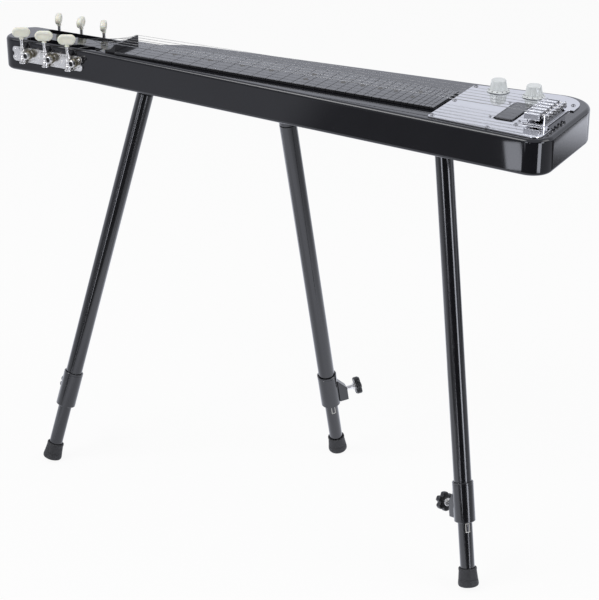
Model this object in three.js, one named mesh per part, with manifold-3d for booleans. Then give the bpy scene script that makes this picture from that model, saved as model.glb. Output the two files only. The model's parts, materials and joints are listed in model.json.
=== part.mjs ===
// Lap steel guitar on three telescopic legs that screw into its underside.
// Millimetres, +Z up. X runs along the strings from the head to the tail, and the near side,
// where the player sits, is -Y. While the pieces are made, X is counted from the nut's front
// edge, Y from the line of the middle of the strings, and Z from the top of the body.

import * as THREE from 'three';
import { mergeVertices } from 'three/addons/utils/BufferGeometryUtils.js';
import Module from 'manifold-3d';

const wasm = await Module();
wasm.setup();

// Fits
const seatGap = 0.3; // between a piece and what it rests on
const runningGap = 0.3; // around shafts and sliding tubes
const cutOverrun = 2; // how far a cut runs past the face that it opens

// Body
const bodyThickness = 44;
const bodyLength = 807.5;
const headLength = 184; // from the head's end to the nut's front edge
const edgeRound = 4.5;
const headNearReach = 32.5;
const headFarReach = 33;
const tailNearReach = 86.5;
const tailFarReach = 97.5;
const taperStart = -45;
const shoulderStart = 2;
const shoulderEnd = 95;
const shoulderReach = 63;
const farBendToTail = 143.5;
const farBendReach = 86;
const headCornerRadius = 20;
const nearTailRadius = 28;
const farTailRadius = 50;

// Head slots, rounded at both ends
const slotLength = 110;
const slotWidth = 15.5;
const slotToNut = 36;
const nearRim = 4;
const islandWidth = 26;
const rampDepth = 4; // sloping cut that lets the strings out of the slot's end
const rampLength = 9;

// Fretboard and nut
const boardThickness = 3.4;
const boardNutReach = 28.5;
const boardEndReach = 35.5;
const boardNutShift = -1.5; // the board's middle lies a little to the near side
const boardEndShift = -4;
const boardToPlate = 3.5;
const nutWidth = 54;
const nutLength = 17;
const nutFront = 0.5;
const nutHeight = 12;
const nutLand = 2;
const nutHeel = 3.5;

// Strings, from the thick one on the near side to the thin one on the far side
const stringCount = 6;
const nutStringSpacing = 10;
const bridgeStringSpacing = 10.7;
const thickString = 0.91;
const thinString = 0.38;
const ballRadius = 1.9;
const ballLength = 2.5;

// Control plate
const plateThickness = 1.5;
const plateToTail = 156; // from the plate's front edge to the tail's end
const plateNearStart = 66.2;
const plateNearEnd = 79.5;
const plateFarStart = 71.6;
const plateFarEnd = 86.8;
const nearLobeToTail = 10;
const farLobeToTail = 13.5;
const plateNotchNear = 36;
const plateNotchFar = 36;
const plateLobeSlant = 8;
const plateSmallRadius = 4;
const plateNearRadius = 13;
const plateFarRadius = 38;

// Pickup and its pocket
const pickupToBridge = 35.2; // from the cover's front to the bridge's front
const pickupWidth = 22.5;
const pickupLength = 66;
const pickupShift = -4.3; // its middle lies to the near side of the string line
const pickupRise = 3;
const pickupDepth = 18;
const pickupCorner = 3;
const pickupEdge = 0.8;
const openingGap = 1.3;
const openingFrontGap = 2.3;

// Bridge and saddles
const bridgeToTail = 48;
const bridgeLength = 28;
const bridgeWidth = 66;
const bridgeShift = -6; // it lies a little to the near side
const saddleInset = 1.5;
const bridgeBaseThickness = 1.8;
const wallThickness = 2;
const wallTop = 15;
const wallHoleHeight = 10;
const wallHoleRadius = 1.3;
const saddleWidth = 10.2;
const saddleLength = 19;
const saddleHeight = 8;
const saddleTop = 15.3;
const saddleLand = 3.5;
const saddleFloor = 1.1;
const saddleTravel = 1.5;
const channelWidth = 2.4;
const heightScrewRadius = 1.4;
const heightScrewInset = 4;

// Knobs and the potentiometers below them
const firstKnobToTail = 120;
const knobSpacing = 46;
const knobLine = 61;
const knobSkirtRadius = 14;
const knobSkirtHeight = 2.2;
const knobBodyRadius = 11;
const knobTopRadius = 8.8;
const knobHeight = 14.5;
const knobLift = 0.5;
const shaftRadius = 3;
const shaftDepth = 6;
const potRadius = 12;
const potHeight = 10;
const bushingRadius = 4.7;
const strapWidth = 4;
const strapThickness = 1.5;
const pocketMargin = 1.5;
const pocketDepth = 30;
const wireChannelWidth = 10;
const wireChannelDepth = 12;

// Output jack in the far edge
const jackToTail = 98;
const jackPlateRadius = 15;
const jackPlateThickness = 2;
const jackBarrelRadius = 6.5;
const jackBoreRadius = 3.4;
const jackDepth = 22;

// Tuners, three on each side of the head
const tunersPerSide = 3;
const tunerSpacing = 37.3;
const nearFirstWorm = -68;
const farFirstWorm = -64.5;
const wormToPost = 10;
const postLevel = -17;
const tunerPlateThickness = 1.5;
const tunerPlateHeight = 20;
const tunerPlateLength = 114;
const tunerPlateTop = -9.5;
const tunerPlateLead = 19; // how far the plate runs past the first worm's axis
const wormStandOff = 5;
const tabWidth = 10;
const tabReach = 9.5;
const tabThickness = 1.5;
const stemRadius = 2.2;
const wormRadius = 4.4;
const collarRadius = 3.4;
const collarHeight = 2;
const gearRadius = 6;
const gearRootRadius = 4.9;
const gearTeeth = 14;
const gearThickness = 5;
const gearBossRadius = 4.8;
const gearBossLength = 5.3;
const postShaftRadius = 3;
const rollerRadius = 5;
const rollerInset = 7;
const buttonWidth = 24;
const buttonHeight = 15;
const buttonThickness = 8;
const buttonCentre = 12.5;
const buttonNeckRadius = 3.6;
const buttonNeckLength = 2;
const buttonBoreDepth = 9;
const nearButtonTurns = [28, 28, 32]; // how far each button stands turned at rest
const farButtonTurns = [120, 112, 120];

// Legs
const standHeight = 526.5; // floor to the underside of the body
const flangeRadius = 17;
const flangeThickness = 3;
const bossDrop = 4;
const bossRadius = 10;
const bossLength = 16;
const studRadius = 4.8;
const studLength = 14;
const upperTubeRadius = 11.1;
const lowerTubeRadius = 9.05;
const tubeWall = 1.2;
const upperCap = 6;
const sleeveRadius = 13.25;
const sleeveLength = 50;
const sleeveGrip = 14; // length of the upper tube inside the sleeve
const lugReach = 25;
const lugWidth = 12;
const lugTop = 13;
const lugSlope = 16;
const lugHeight = 35.5;
const clampScrewDrop = 33;
const clampRodRadius = 3;
const starRadius = 12.5;
const starNotch = 2.5;
const starLobes = 6;
const starThickness = 8;
const starStandOff = 37;
const lowerTubeLength = 330;
const bareLowerTube = 59.2; // between the sleeve and the foot
const footHeight = 24;
const footTopRadius = 11;
const footBaseRadius = 13;
const footRound = 4;
const footSole = 8;
const footFlat = 0.6; // depth of the flat that the floor presses into the rubber

// Where each leg meets the underside, as shares of the body's length and of the near reach at
// the tail, with the angles of its lean and of its clamp screw about the upright.
const legs = [
  {
    number: 1,
    alongShare: 0.268,
    nearShare: 0.028,
    tilt: 17.3,
    heading: -126.8,
    clampHeading: 125,
  },
  {
    number: 2,
    alongShare: 0.5464,
    nearShare: 0.31,
    tilt: 12.2,
    heading: 81.1,
    clampHeading: 45,
  },
  {
    number: 3,
    alongShare: 0.8113,
    nearShare: 0.28,
    tilt: 17,
    heading: -47.6,
    clampHeading: 150,
  },
];

// Places that follow from the sizes
const headEnd = -headLength;
const tailEnd = headEnd + bodyLength;
const farBend = tailEnd - farBendToTail;
const plateStart = tailEnd - plateToTail;
const plateNearLobeEnd = tailEnd - nearLobeToTail;
const plateFarLobeEnd = tailEnd - farLobeToTail;
const boardStart = nutFront + seatGap;
const boardEnd = plateStart - boardToPlate;
const bridgeFront = tailEnd - bridgeToTail;
const wallStart = bridgeFront + bridgeLength - wallThickness;
const pickupStart = bridgeFront - pickupToBridge;
const jackStation = tailEnd - jackToTail;
const plateBottom = seatGap;
const plateTop = plateBottom + plateThickness;
const nearSlotOuter = nearRim - headNearReach;
const nearSlotInner = nearSlotOuter + slotWidth;
const farSlotInner = nearSlotInner + islandWidth;
const farSlotOuter = farSlotInner + slotWidth;
const bridgeBottom = plateTop + seatGap;
const bridgeBaseTop = bridgeBottom + bridgeBaseThickness;
const knobPlaces = [tailEnd - firstKnobToTail, tailEnd - firstKnobToTail + knobSpacing];

// Finishes
function finish(color, roughness, metalness) {
  return new THREE.MeshStandardMaterial({ color, roughness, metalness, flatShading: true });
}
const blackLacquer = finish(0x0b0b0d, 0.12, 0);
const boardFinish = finish(0x1a1b1d, 0.2, 0);
const blackPlastic = finish(0x141416, 0.4, 0);
const chrome = finish(0xd9dadc, 0.08, 1);
const nickel = finish(0xb9b7b0, 0.25, 1);
const steel = finish(0xa8a9ab, 0.35, 1);
const blackTube = finish(0x1d1e22, 0.3, 0.2);
const blackRubber = finish(0x1a1a1a, 0.8, 0);
const paleKnob = finish(0xdfe3e2, 0.3, 0);
const creamPlastic = finish(0xe6dcc0, 0.35, 0);

const guitar = new THREE.Group();

// Puts one named piece into a group.
function piece(name, geometry, material, group = guitar) {
  const mesh = new THREE.Mesh(closed(geometry), material);
  mesh.name = name;
  group.add(mesh);
  return mesh;
}

// Welds a geometry's corners, drops its flat triangles and turns its faces outwards.
function closed(geometry) {
  const bare = geometry.clone();
  bare.deleteAttribute('normal');
  bare.deleteAttribute('uv');
  const welded = mergeVertices(bare);
  const position = welded.attributes.position;
  const index = welded.index.array;
  const corner = [0, 1, 2].map(() => new THREE.Vector3());
  const kept = [];
  let volume = 0;
  for (let i = 0; i < index.length; i += 3) {
    const [a, b, c] = [index[i], index[i + 1], index[i + 2]];
    if (a === b || b === c || c === a) continue;
    kept.push([a, b, c]);
    [a, b, c].forEach((vertex, k) => corner[k].fromBufferAttribute(position, vertex));
    volume += corner[0].dot(corner[1].cross(corner[2]));
  }
  const order = volume < 0 ? ([a, b, c]) => [a, c, b] : (triangle) => triangle;
  welded.setIndex(kept.flatMap(order));
  return welded;
}

function toSolid(geometry) {
  const ready = closed(geometry);
  return new wasm.Manifold(new wasm.Mesh({
    numProp: 3,
    vertProperties: Float32Array.from(ready.attributes.position.array),
    triVerts: Uint32Array.from(ready.index.array),
  }));
}

function toGeometry(solid) {
  const mesh = solid.getMesh();
  const geometry = new THREE.BufferGeometry();
  geometry.setAttribute('position', new THREE.BufferAttribute(mesh.vertProperties, mesh.numProp));
  geometry.setIndex(Array.from(mesh.triVerts));
  return geometry;
}

function join(...geometries) {
  return toGeometry(geometries.map(toSolid).reduce((whole, part) => whole.add(part)));
}

function cut(geometry, ...tools) {
  return toGeometry(tools.map(toSolid).reduce((left, tool) => left.subtract(tool), toSolid(geometry)));
}

// A box between two opposite corners.
function block([x0, y0, z0], [x1, y1, z1]) {
  const box = new THREE.BoxGeometry(x1 - x0, y1 - y0, z1 - z0);
  return box.translate((x0 + x1) / 2, (y0 + y1) / 2, (z0 + z1) / 2);
}

// A round bar about the Z axis.
function bar(radius, low, high, sides = 16) {
  const cylinder = new THREE.CylinderGeometry(radius, radius, high - low, sides);
  return cylinder.rotateX(Math.PI / 2).translate(0, 0, (low + high) / 2);
}

// A profile of [radius, height] points turned about the Z axis.
function turned(profile, sides = 16) {
  const points = profile.map(([radius, height]) => new THREE.Vector2(radius, height));
  return new THREE.LatheGeometry(points, sides).rotateX(Math.PI / 2);
}

// An outline in X and Y, thickened from one height to another.
function slab(shape, low, high, round = 0, curveSegments = 4, bevelSegments = 2) {
  const geometry = new THREE.ExtrudeGeometry(shape, {
    depth: high - low - 2 * round,
    bevelEnabled: round > 0,
    bevelThickness: round,
    bevelSize: round,
    bevelOffset: -round,
    bevelSegments,
    curveSegments,
  });
  return geometry.translate(0, 0, low + round);
}

// An outline in X and Z, thickened from one Y to another.
function upright(shape, yLow, yHigh, curveSegments = 4) {
  return slab(shape, 0, yHigh - yLow, 0, curveSegments).rotateX(Math.PI / 2).translate(0, yHigh, 0);
}

// Turns a geometry made along +Z so that it points along a direction from a place.
function aimed(geometry, direction, place) {
  const turn = new THREE.Quaternion().setFromUnitVectors(new THREE.Vector3(0, 0, 1), direction);
  return geometry.applyQuaternion(turn).translate(...place);
}

// A closed outline through [x, y, radius] corners, each rounded by a true arc.
function roundedOutline(corners) {
  const shape = new THREE.Shape();
  corners.forEach(([x, y, radius], i) => {
    const here = new THREE.Vector2(x, y);
    if (!radius) {
      i === 0 ? shape.moveTo(x, y) : shape.lineTo(x, y);
      return;
    }
    const [before, after] = [corners.at(i - 1), corners[(i + 1) % corners.length]];
    const back = new THREE.Vector2(before[0], before[1]).sub(here).normalize();
    const ahead = new THREE.Vector2(after[0], after[1]).sub(here).normalize();
    const halfAngle = Math.acos(back.dot(ahead)) / 2;
    const inward = back.clone().add(ahead).normalize();
    const centre = here.clone().addScaledVector(inward, radius / Math.sin(halfAngle));
    const start = here.clone().addScaledVector(back, radius / Math.tan(halfAngle)).sub(centre);
    const end = here.clone().addScaledVector(ahead, radius / Math.tan(halfAngle)).sub(centre);
    const clockwise = back.cross(ahead) > 0;
    shape.absarc(centre.x, centre.y, radius, start.angle(), end.angle(), clockwise);
  });
  return shape;
}

function outline(points) {
  return roundedOutline(points.map(([x, y]) => [x, y, 0]));
}

// Y of the string with the given number, 0 on the near side, at a spacing.
function stringLine(i, spacing) {
  return (i - (stringCount - 1) / 2) * spacing;
}

// Upward direction of a leg's axis, and the frame that stands on it.
function legFrame(leg) {
  const tilt = THREE.MathUtils.degToRad(leg.tilt);
  const heading = THREE.MathUtils.degToRad(leg.heading);
  const lean = Math.sin(tilt);
  const up = new THREE.Vector3(-lean * Math.cos(heading), -lean * Math.sin(heading), Math.cos(tilt));
  const top = new THREE.Vector3(
    headEnd + leg.alongShare * bodyLength, -leg.nearShare * tailNearReach, -bodyThickness);
  const frame = new THREE.Group();
  frame.position.copy(top);
  frame.quaternion.setFromUnitVectors(new THREE.Vector3(0, 0, 1), up);
  frame.updateMatrix();
  return { up, top, tilt, frame };
}

// Body
function bodyOutline() {
  const shoulderPull = (shoulderEnd - shoulderStart) / 2;
  const shoulder = new THREE.CubicBezierCurve(
    new THREE.Vector2(shoulderEnd, shoulderReach),
    new THREE.Vector2(shoulderEnd - shoulderPull, shoulderReach),
    new THREE.Vector2(shoulderStart + shoulderPull / 2, headFarReach),
    new THREE.Vector2(shoulderStart, headFarReach),
  );
  return roundedOutline([
    [headEnd, -headNearReach, headCornerRadius],
    [taperStart, -headNearReach, 0],
    [tailEnd, -tailNearReach, nearTailRadius],
    [tailEnd, tailFarReach, farTailRadius],
    [farBend, farBendReach, 0],
    ...shoulder.getPoints(8).map((point) => [point.x, point.y, 0]),
    [headEnd, headFarReach, headCornerRadius],
  ]);
}

function headSlot(inner, outer) {
  const [low, high] = [Math.min(inner, outer), Math.max(inner, outer)];
  const end = slotWidth / 2 - runningGap;
  const slot = roundedOutline([
    [-slotToNut - slotLength, low, end],
    [-slotToNut, low, end],
    [-slotToNut, high, end],
    [-slotToNut - slotLength, high, end],
  ]);
  const ramp = outline([
    [-slotToNut - end, -rampDepth - rampDepth * end / rampLength],
    [-slotToNut + rampLength, 0],
    [-slotToNut + rampLength, cutOverrun],
    [-slotToNut - end, cutOverrun],
  ]);
  return join(
    slab(slot, -bodyThickness - cutOverrun, cutOverrun),
    upright(ramp, low + end / 4, high - end / 4),
  );
}

function pickupPocket() {
  const middle = pickupShift;
  const half = pickupLength / 2 + openingGap;
  return block(
    [pickupStart - openingFrontGap, middle - half, -pickupDepth - seatGap],
    [pickupStart + pickupWidth + openingGap, middle + half, cutOverrun],
  );
}

function potPocket() {
  const half = potRadius + pocketMargin;
  return block(
    [knobPlaces[0] - half, knobLine - half, -pocketDepth],
    [knobPlaces[1] + half, knobLine + half, cutOverrun],
  );
}

function wireChannel() {
  const middle = pickupStart + pickupWidth / 2;
  return block(
    [middle - wireChannelWidth / 2, pickupShift + pickupLength / 2, -wireChannelDepth],
    [middle + wireChannelWidth / 2, knobLine - potRadius, cutOverrun],
  );
}

// Place on the far edge where the jack sits, and the edge's outward direction there.
function jackSeat() {
  const slope = (tailFarReach - farBendReach) / (tailEnd - farBend);
  const outward = new THREE.Vector3(-slope, 1, 0).normalize();
  const edge = farBendReach + slope * (jackStation - farBend);
  return { outward, place: [jackStation, edge, -bodyThickness / 2] };
}

function makeBody() {
  const { outward, place } = jackSeat();
  const jackHole = bar(jackBarrelRadius + runningGap, -jackDepth - cutOverrun, cutOverrun);
  const bossHoles = legs.map((leg) => {
    const { up, top } = legFrame(leg);
    return aimed(bar(bossRadius + seatGap, -bossLength, bossLength + seatGap), up, top.toArray());
  });
  const rollerHoles = tuners().map(({ side, postX, face, island }) => {
    const [from, to] = [face + side * cutOverrun, island - side * rollerInset];
    const hole = bar(rollerRadius + runningGap, Math.min(from, to), Math.max(from, to), 12);
    return hole.rotateX(-Math.PI / 2).translate(postX, 0, postLevel);
  });
  return cut(
    slab(bodyOutline(), -bodyThickness, 0, edgeRound, 5, 3),
    headSlot(nearSlotInner, nearSlotOuter),
    headSlot(farSlotInner, farSlotOuter),
    pickupPocket(),
    potPocket(),
    wireChannel(),
    aimed(jackHole, outward, place),
    ...bossHoles,
    ...rollerHoles,
  );
}

// Fretboard and nut
function makeFretboard() {
  const shape = outline([
    [boardStart, boardNutShift - boardNutReach],
    [boardEnd, boardEndShift - boardEndReach],
    [boardEnd, boardEndShift + boardEndReach],
    [boardStart, boardNutShift + boardNutReach],
  ]);
  return slab(shape, seatGap, seatGap + boardThickness);
}

// The nut's side view: an upright front, a narrow land on top and a hollow ramp down to the heel.
function makeNut() {
  const back = nutFront - nutLength;
  const shape = new THREE.Shape();
  shape.moveTo(back, seatGap);
  shape.lineTo(nutFront, seatGap);
  shape.lineTo(nutFront, nutHeight);
  shape.lineTo(nutFront - nutLand, nutHeight);
  shape.quadraticCurveTo(nutFront - nutLand - nutLength / 4, nutHeel, back, nutHeel);
  return upright(shape, -nutWidth / 2, nutWidth / 2);
}

// Control plate
function roundHole(x, y, radius) {
  const hole = new THREE.Path();
  hole.absarc(x, y, radius, 0, 2 * Math.PI, true);
  return hole;
}

function makeControlPlate() {
  const notch = wallStart + wallThickness + openingGap;
  const shape = roundedOutline([
    [plateStart, -plateNearStart, plateSmallRadius],
    [plateNearLobeEnd, -plateNearEnd, plateNearRadius],
    [plateNearLobeEnd, -plateNotchNear - plateLobeSlant, plateSmallRadius],
    [notch, -plateNotchNear, plateSmallRadius],
    [notch, plateNotchFar, plateSmallRadius],
    [plateFarLobeEnd, plateNotchFar - plateSmallRadius, plateSmallRadius],
    [plateFarLobeEnd, plateFarEnd, plateFarRadius],
    [plateStart, plateFarStart, plateSmallRadius],
  ]);
  const half = pickupLength / 2 + openingGap;
  const corner = pickupCorner + openingGap;
  shape.holes.push(
    roundedOutline([
      [pickupStart - openingFrontGap, pickupShift + half, corner],
      [pickupStart + pickupWidth + openingGap, pickupShift + half, corner],
      [pickupStart + pickupWidth + openingGap, pickupShift - half, corner],
      [pickupStart - openingFrontGap, pickupShift - half, corner],
    ]),
    ...knobPlaces.map((x) => roundHole(x, knobLine, bushingRadius + 2 * runningGap)),
  );
  return slab(shape, plateBottom, plateTop);
}

function makePickup() {
  const half = pickupLength / 2;
  const shape = roundedOutline([
    [pickupStart, pickupShift - half, pickupCorner],
    [pickupStart + pickupWidth, pickupShift - half, pickupCorner],
    [pickupStart + pickupWidth, pickupShift + half, pickupCorner],
    [pickupStart, pickupShift + half, pickupCorner],
  ]);
  return slab(shape, -pickupDepth, plateTop + pickupRise, pickupEdge, 2, 1);
}

// Bridge: an angle with a base and a rear wall that the strings pass through
function makeBridge() {
  const [low, high] = [bridgeShift - bridgeWidth / 2, bridgeShift + bridgeWidth / 2];
  const wallEnd = wallStart + wallThickness;
  const angle = outline([
    [bridgeFront, bridgeBottom],
    [wallEnd, bridgeBottom],
    [wallEnd, wallTop],
    [wallStart, wallTop],
    [wallStart, bridgeBaseTop],
    [bridgeFront, bridgeBaseTop],
  ]);
  const holes = Array.from({ length: stringCount }, (_, i) => {
    const hole = bar(wallHoleRadius, wallStart - cutOverrun, wallEnd + cutOverrun, 8);
    const y = bridgeShift + stringLine(i, bridgeStringSpacing);
    return hole.rotateY(Math.PI / 2).translate(0, y, wallHoleHeight);
  });
  return cut(upright(angle, low, high), ...holes);
}

// A saddle block with a land that the string crosses, a channel behind it and two height screws.
function makeSaddle(i) {
  const y = bridgeShift + stringLine(i, bridgeStringSpacing);
  const bottom = saddleTop - saddleHeight;
  const front = bridgeFront + saddleInset;
  const back = front + saddleLength;
  const drop = saddleHeight - saddleFloor;
  const channel = outline([
    [front + saddleLand, saddleTop + cutOverrun],
    [front + saddleLand, saddleTop],
    [front + saddleLand + drop, bottom + saddleFloor],
    [back + cutOverrun, bottom + saddleFloor],
    [back + cutOverrun, saddleTop + cutOverrun],
  ]);
  const screws = [-1, 1].map((side) => {
    const screw = bar(heightScrewRadius, bridgeBaseTop + seatGap, bottom + saddleFloor / 2, 6);
    return screw.translate(front + heightScrewInset, y + side * saddleWidth / 4, 0);
  });
  const cheeks = cut(
    block([front, y - saddleWidth / 2, bottom], [back, y + saddleWidth / 2, saddleTop]),
    upright(channel, y - channelWidth / 2, y + channelWidth / 2),
  );
  return join(cheeks, ...screws);
}

// Knobs, potentiometers and jack
function makeKnob() {
  const bottom = plateTop + knobLift;
  return turned([
    [0, -shaftDepth],
    [shaftRadius, -shaftDepth],
    [shaftRadius, bottom],
    [knobSkirtRadius, bottom],
    [knobSkirtRadius, bottom + knobSkirtHeight / 2],
    [knobBodyRadius, bottom + knobSkirtHeight],
    [knobTopRadius, bottom + knobHeight],
    [0, bottom + knobHeight],
  ], 20);
}

function makePots() {
  const cans = knobPlaces.map((x) => turned([
    [0, -potHeight],
    [potRadius, -potHeight],
    [potRadius, 0],
    [bushingRadius, 0],
    [bushingRadius, plateTop],
    [shaftRadius + runningGap, plateTop],
    [shaftRadius + runningGap, -shaftDepth - seatGap],
    [0, -shaftDepth - seatGap],
  ]).translate(x, knobLine, 0));
  const strap = block(
    [knobPlaces[0], knobLine - strapWidth / 2, -potHeight - strapThickness / 2],
    [knobPlaces[1], knobLine + strapWidth / 2, -potHeight + strapThickness / 2],
  );
  return join(...cans, strap);
}

function makeJack() {
  const { outward, place } = jackSeat();
  const jack = turned([
    [jackBoreRadius, -jackDepth],
    [jackBarrelRadius, -jackDepth],
    [jackBarrelRadius, seatGap],
    [jackPlateRadius, seatGap],
    [jackPlateRadius, seatGap + jackPlateThickness],
    [jackBoreRadius, seatGap + jackPlateThickness],
    [jackBoreRadius, -jackDepth],
  ]);
  return aimed(jack, outward, place);
}

// Tuners
// Each tuner's side (-1 near, 1 far), its place along the head, the side face of the head, the
// edge of the island that its roller enters, and the place across the slot where its string winds.
function tuners() {
  const nearWindShares = [0.69, 0.44, 0.19];
  const farWindShares = [0.6, 0.56, 0.8];
  return Array.from({ length: 2 * tunersPerSide }, (_, i) => {
    const side = i < tunersPerSide ? -1 : 1;
    const order = i % tunersPerSide;
    const wormX = (side < 0 ? nearFirstWorm : farFirstWorm) - order * tunerSpacing;
    const face = side < 0 ? -headNearReach : headFarReach;
    const island = side < 0 ? nearSlotInner : farSlotInner;
    const string = side < 0 ? order : stringCount - 1 - order;
    const windY = side < 0
      ? nearSlotOuter + nearWindShares[order] * slotWidth
      : farSlotInner + farWindShares[order] * slotWidth;
    const postX = wormX + wormToPost;
    return { number: i + 1, side, order, wormX, postX, face, island, string, windY };
  });
}

function tunerPlateShape(firstWorm) {
  const lobe = tunerPlateHeight / 4;
  const end = firstWorm + tunerPlateLead;
  const [left, right] = [end - tunerPlateLength + lobe, end - lobe];
  const [low, high] = [tunerPlateTop - 3 * lobe, tunerPlateTop - lobe];
  const shape = new THREE.Shape();
  shape.absarc(right, low, lobe, -Math.PI / 2, Math.PI / 3, false);
  shape.absarc(right, high, lobe, -Math.PI / 3, Math.PI / 2, false);
  shape.absarc(left, high, lobe, Math.PI / 2, 4 * Math.PI / 3, false);
  shape.absarc(left, low, lobe, 2 * Math.PI / 3, 3 * Math.PI / 2, false);
  return shape;
}

// A plate on the side of the head, with a pair of bent tabs that hold each worm shaft.
function makeTunerPlate(side) {
  const own = tuners().filter((tuner) => tuner.side === side);
  const inner = own[0].face + side * seatGap;
  const outer = inner + side * tunerPlateThickness;
  const tip = outer + side * tabReach;
  const [yLow, yHigh] = [Math.min(inner, outer), Math.max(inner, outer)];
  const tabLevels = [tunerPlateTop - tabThickness, tunerPlateTop - tunerPlateHeight];
  const tabs = own.flatMap(({ wormX }) => tabLevels.map((level) => block(
    [wormX - tabWidth / 2, Math.min(inner, tip), level],
    [wormX + tabWidth / 2, Math.max(inner, tip), level + tabThickness],
  )));
  const stemHoles = own.map(({ wormX }) => {
    const hole = bar(stemRadius + runningGap, tunerPlateTop - tunerPlateHeight - cutOverrun,
      tunerPlateTop + cutOverrun, 8);
    return hole.translate(wormX, outer + side * wormStandOff, 0);
  });
  const postHoles = own.map(({ postX }) => {
    const hole = bar(postShaftRadius + runningGap, yLow - cutOverrun, yHigh + cutOverrun, 8);
    return hole.rotateX(-Math.PI / 2).translate(postX, 0, postLevel);
  });
  const plate = upright(tunerPlateShape(own[0].wormX), yLow, yHigh);
  return cut(join(plate, ...tabs), ...stemHoles, ...postHoles);
}

// The worm shaft stands upright in its two tabs. Its worm is waisted round the gear wheel.
function makeWormShaft({ side, wormX, face }) {
  const bottomTab = tunerPlateTop - tunerPlateHeight;
  const wormLow = bottomTab + tabThickness + runningGap;
  const wormHigh = tunerPlateTop - tabThickness - runningGap;
  const collarLow = tunerPlateTop + runningGap;
  const steps = 4;
  const waist = Array.from({ length: steps + 1 }, (_, i) => {
    const height = wormLow + (wormHigh - wormLow) * i / steps;
    const reach = gearRadius + runningGap;
    const fromPost = Math.sqrt(Math.max(reach ** 2 - (height - postLevel) ** 2, 0));
    return [Math.min(wormRadius, wormToPost - fromPost), height];
  });
  const shaft = turned([
    [0, bottomTab - collarHeight / 2],
    [stemRadius, bottomTab - collarHeight / 2],
    [stemRadius, wormLow],
    ...waist,
    [stemRadius, wormHigh],
    [stemRadius, collarLow],
    [collarRadius, collarLow],
    [collarRadius, collarLow + collarHeight],
    [stemRadius, collarLow + collarHeight],
    [stemRadius, buttonBottom() + buttonBoreDepth - seatGap],
    [0, buttonBottom() + buttonBoreDepth - seatGap],
  ], 8);
  return shaft.translate(wormX, wormLine(side, face), 0);
}

function wormLine(side, face) {
  return face + side * (seatGap + tunerPlateThickness + wormStandOff);
}

function buttonBottom() {
  return buttonCentre - buttonHeight / 2 - buttonNeckLength;
}

// A flat oval button with a neck, pushed onto the top of the worm shaft.
function makeButton({ side, order, wormX, face }) {
  const rest = side < 0 ? nearButtonTurns[order] : farButtonTurns[order];
  const angle = THREE.MathUtils.degToRad(rest);
  const oval = new THREE.SphereGeometry(1, 12, 6).rotateX(Math.PI / 2);
  oval.scale(buttonWidth / 2, buttonThickness / 2, buttonHeight / 2).translate(0, 0, buttonCentre);
  const neck = bar(buttonNeckRadius, buttonBottom(), buttonCentre - buttonHeight / 4, 8);
  const low = buttonBottom();
  const bore = bar(stemRadius + runningGap, low - cutOverrun, low + buttonBoreDepth, 8);
  return cut(join(oval, neck), bore).rotateZ(angle).translate(wormX, wormLine(side, face), 0);
}

function gearOutline() {
  const step = 2 * Math.PI / gearTeeth;
  const points = [];
  for (let tooth = 0; tooth < gearTeeth; tooth += 1) {
    for (const [turnShare, radius] of [[0, gearRootRadius], [0.5, gearRadius]]) {
      const angle = (tooth + turnShare) * step;
      points.push([radius * Math.cos(angle), radius * Math.sin(angle)]);
    }
  }
  return outline(points);
}

// A string post lies across the slot: gear wheel outside, shaft through the plate, roller inside.
function makeStringPost({ side, postX, face, island }) {
  const plateOuter = seatGap + tunerPlateThickness;
  const gearLow = plateOuter + wormStandOff - gearThickness / 2;
  const gearHigh = gearLow + gearThickness;
  const rollerEnd = Math.abs(face - island) + rollerInset - seatGap;
  const shaft = turned([
    [0, -rollerEnd],
    [rollerRadius, -rollerEnd],
    [rollerRadius, 0],
    [postShaftRadius, 0],
    [postShaftRadius, gearLow],
    [gearBossRadius, gearLow],
    [gearBossRadius, gearHigh + gearBossLength],
    [0, gearHigh + gearBossLength],
  ], 10);
  const post = join(shaft, slab(gearOutline(), gearLow, gearHigh));
  return post.rotateX(-side * Math.PI / 2).translate(postX, face, postLevel);
}

// Strings
function wire(radius, from, to, sides = 5) {
  const along = to.clone().sub(from);
  const length = along.length();
  return aimed(bar(radius, 0, length, sides), along.normalize(), from.toArray());
}

// A string runs from the top of its roller over the nut and the saddle to its ball end.
function makeString({ string, windY, postX }) {
  const radius = thickString / 2 * (thinString / thickString) ** (string / (stringCount - 1));
  const nutY = stringLine(string, nutStringSpacing);
  const bridgeY = bridgeShift + stringLine(string, bridgeStringSpacing);
  const wallEnd = wallStart + wallThickness;
  const saddleBreak = bridgeFront + saddleInset + saddleLand + saddleTravel + runningGap;
  const stops = [
    [postX, windY, postLevel + rollerRadius + runningGap + radius],
    [nutFront - nutLand, nutY, nutHeight + seatGap + radius],
    [saddleBreak, bridgeY, saddleTop + seatGap + radius],
    [wallStart, bridgeY, wallHoleHeight],
    [wallEnd + seatGap + ballLength / 2, bridgeY, wallHoleHeight],
  ].map((stop) => new THREE.Vector3(...stop));
  const runs = stops.slice(1).map((stop, i) => wire(radius, stops[i], stop));
  const bends = stops.slice(1, -1).map((stop) => {
    const bend = new THREE.SphereGeometry(radius, 6, 4);
    return bend.translate(...stop.toArray());
  });
  const ball = bar(ballRadius, wallEnd + seatGap, wallEnd + seatGap + ballLength, 8);
  return join(...runs, ...bends, ball.rotateY(Math.PI / 2).translate(0, bridgeY, wallHoleHeight));
}

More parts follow.
